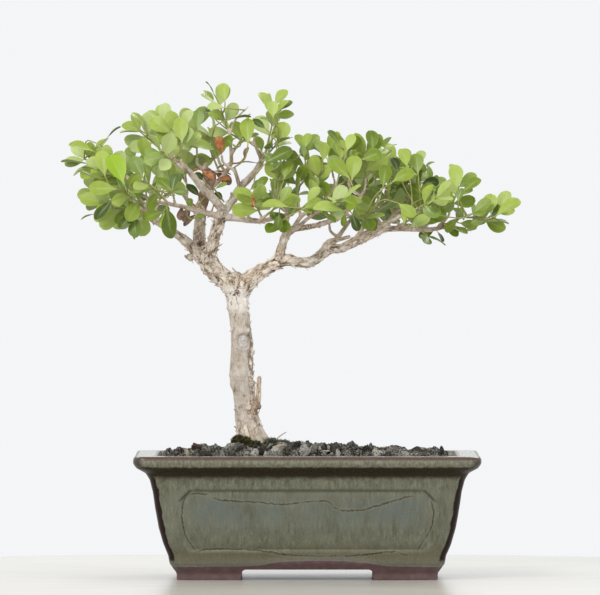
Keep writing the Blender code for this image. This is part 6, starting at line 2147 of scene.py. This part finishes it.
# %% Leaves: the finish
def mix_leaf():
    f = Finish("boxwood leaf", IOR=1.47, Specular_IOR_Level=0.32)
    f.give("Subsurface Weight", 0.12)
    f.give("Subsurface Scale", 0.0012)
    f.give("Subsurface Radius", (0.8, 1.0, 0.25))
    tint, share, rib, edge, upper = (f.number(name) for name in ("tint", "share", "rib", "edge", "upper"))
    hue = f.number("hue")
    mottle = f.cloud(3.5, detail=3)
    # The tint sets each leaf's shade of green: partly its age, partly painted light and shade
    level = f.scaled(mottle, 0.2, f.sum("SUBTRACT", tint, 0.1))
    f.colour = f.ramp(level, TOP_TINTS)
    f.coat(f.ramp(level, COOL_TINTS), (hue, 0.66, 1.0), 0.7)
    f.coat(LIME_TINT, (tint, 0.98, 1.15))
    below = f.ramp(level, UNDER_TINTS)
    gap = f.sum("ABSOLUTE", rib)
    line = f.both((gap, 0.36, 0.08), (share, 0.03, 0.12), (share, 0.92, 0.6))
    veins = f.sum("SINE", f.both(f.sum("SUBTRACT", f.both(share, 15.0), gap), 3.4))
    f.coat(VEIN_AND_SHEEN_TINT, (veins, 0.6, 1.0), (share, 0.05, 0.2), 0.08)
    f.coat(VEIN_AND_SHEEN_TINT, line, f.scaled(hue, 0.42, 0.16))
    # A broad pale band along the middle of the upper face: a painted sheen where the blade folds at its rib
    f.coat(VEIN_AND_SHEEN_TINT, (gap, 2.2, 0.2), (share, 0.9, 0.3), 0.16)
    f.coat((0.4, 0.45, 0.13), (edge, 0.88, 1.0), 0.22)
    f.coat((0.33, 0.39, 0.11), (share, 0.2, 0.02), 0.6)
    below = f.over(below, f.both(line, 0.45), (0.43, 0.46, 0.22))
    stalk = f.ramp(f.cloud(2.5), [(0.3, (0.23, 0.24, 0.075)), (0.7, (0.38, 0.36, 0.13))])
    f.colour = f.over(below, f.rise(upper, 0.3, 0.7), f.colour)
    f.coat(stalk, (share, -0.4, -0.6))
    f.give("Base Color", f.colour)
    dull = f.scaled(upper, -0.24, 0.56)
    f.give("Roughness", f.scaled(mottle, 0.14, dull))
    skin = f.sum("ADD", f.both(f.cloud(0.9, detail=2), 0.5), f.both(line, -0.4))
    f.relief(skin, 0.12)
    return f.material


# %% Leaves: one piece for each measured shoot
leaf_finish = mix_leaf()
LEAF_NUMBERS = ("share", "rib", "edge", "upper", "tint", "hue")
SHOOT_SEED, FILLED_SEED, DEAD_SEED, WITHERED_SEED = 1000, 5000, 70, 900
for number, shoot in enumerate(shoots, 1):
    heap = Heap(*LEAF_NUMBERS)
    dress_shoot(heap, shoot, random.Random(SHOOT_SEED + number))
    settle(heap.piece(f"leaves_{number:02d}", leaf_finish), "leaf", f"spray_{number:02d}")

# %% Leaves: the side shoots, gathered by the part of the tree they fill
green_seen = [shoot for shoot in seen_leaves if shoot["tint"] >= 0]
FILLING_AREAS = {"left": (-400, -62), "crown": (-62, -8), "middle": (-8, 50), "right": (50, 400)}
for area, (low, high) in FILLING_AREAS.items():
    heap = Heap(*LEAF_NUMBERS)
    for number, shoot in enumerate(filling + green_seen):
        if low <= shoot["stem"][0][0] < high:
            dress_shoot(heap, shoot, random.Random(FILLED_SEED + number))
    settle(heap.piece(f"side_shoots_{area}", leaf_finish), "leaf")

# %% [markdown]
# ## Dry leaves
#
# A few leaves have died on their twigs: thin, curled, rust-brown with a burnt edge.


# %% Dry leaves
RUST_BROWN = [(0.3, (0.26, 0.085, 0.025)), (0.5, (0.48, 0.19, 0.07)), (0.72, (0.62, 0.3, 0.13))]
WITHERED_BROWN = [(0.3, (0.11, 0.065, 0.04)), (0.5, (0.25, 0.16, 0.105)), (0.72, (0.4, 0.29, 0.21))]


def mix_dry_leaf():
    f = Finish("dry leaf", Specular_IOR_Level=0.3)
    mottle = f.cloud(2.4, detail=4)
    f.colour = f.ramp(mottle, WITHERED_BROWN)
    f.coat(f.ramp(mottle, RUST_BROWN), (f.number("tint"), 0.1, 0.4))
    f.coat((0.16, 0.06, 0.028), (f.number("edge"), 0.65, 1.0), 0.6)
    f.give("Base Color", f.colour)
    f.give("Roughness", f.scaled(mottle, 0.3, 0.5))
    f.relief(mottle, 0.4)
    return f.material


dry_finish = mix_dry_leaf()
for number, (_, leaf) in enumerate(dry_leaves, 1):
    chance = random.Random(DEAD_SEED + number)
    heap = Heap(*LEAF_NUMBERS)
    heap.add(shape_blade(leaf, chance), BLADE_FACES, **leaf_numbers(leaf, chance, 0.5))
    settle(heap.piece(f"dead_leaf_{number}", dry_finish), "dry_leaf", f"dry_leaf_{number}")
heap = Heap(*LEAF_NUMBERS)
for number, shoot in enumerate(shoot for shoot in seen_leaves if shoot["tint"] < 0):
    rusty = {**shoot, "tint": 0.5 if shoot["tint"] < -0.7 else 0.0}
    dress_shoot(heap, rusty, random.Random(WITHERED_SEED + number))
settle(heap.piece("withered_leaves", dry_finish), "dry_leaf")

# %% [markdown]
# ## Drain screens
#
# The squares of plastic mesh under the soil are right as they were measured. They only need a finish.


# %% Drain screens
def mix_plastic():
    f = Finish("black plastic mesh", Specular_IOR_Level=0.5)
    scuffs = f.cloud(2.0, detail=4)
    f.give("Base Color", f.ramp(scuffs, [(0.35, (0.018, 0.018, 0.018)), (0.75, (0.045, 0.044, 0.042))]))
    f.give("Roughness", f.scaled(scuffs, 0.3, 0.35))
    f.relief(scuffs, 0.1)
    return f.material


plastic = mix_plastic()
for name in ("drain_screen_left", "drain_screen_right"):
    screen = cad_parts[name]
    screen.data.materials.clear()
    screen.data.materials.append(plastic)

# %% [markdown]
# ## Done
#
# The dressed tree must keep the size of the measured one, so both boxes are written down for comparison.

# %% Sizes
sizes = {"measured": measured_box, "dressed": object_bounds()}
{key: [list(corner) for corner in box] for key, box in sizes.items()}
print(sizes)
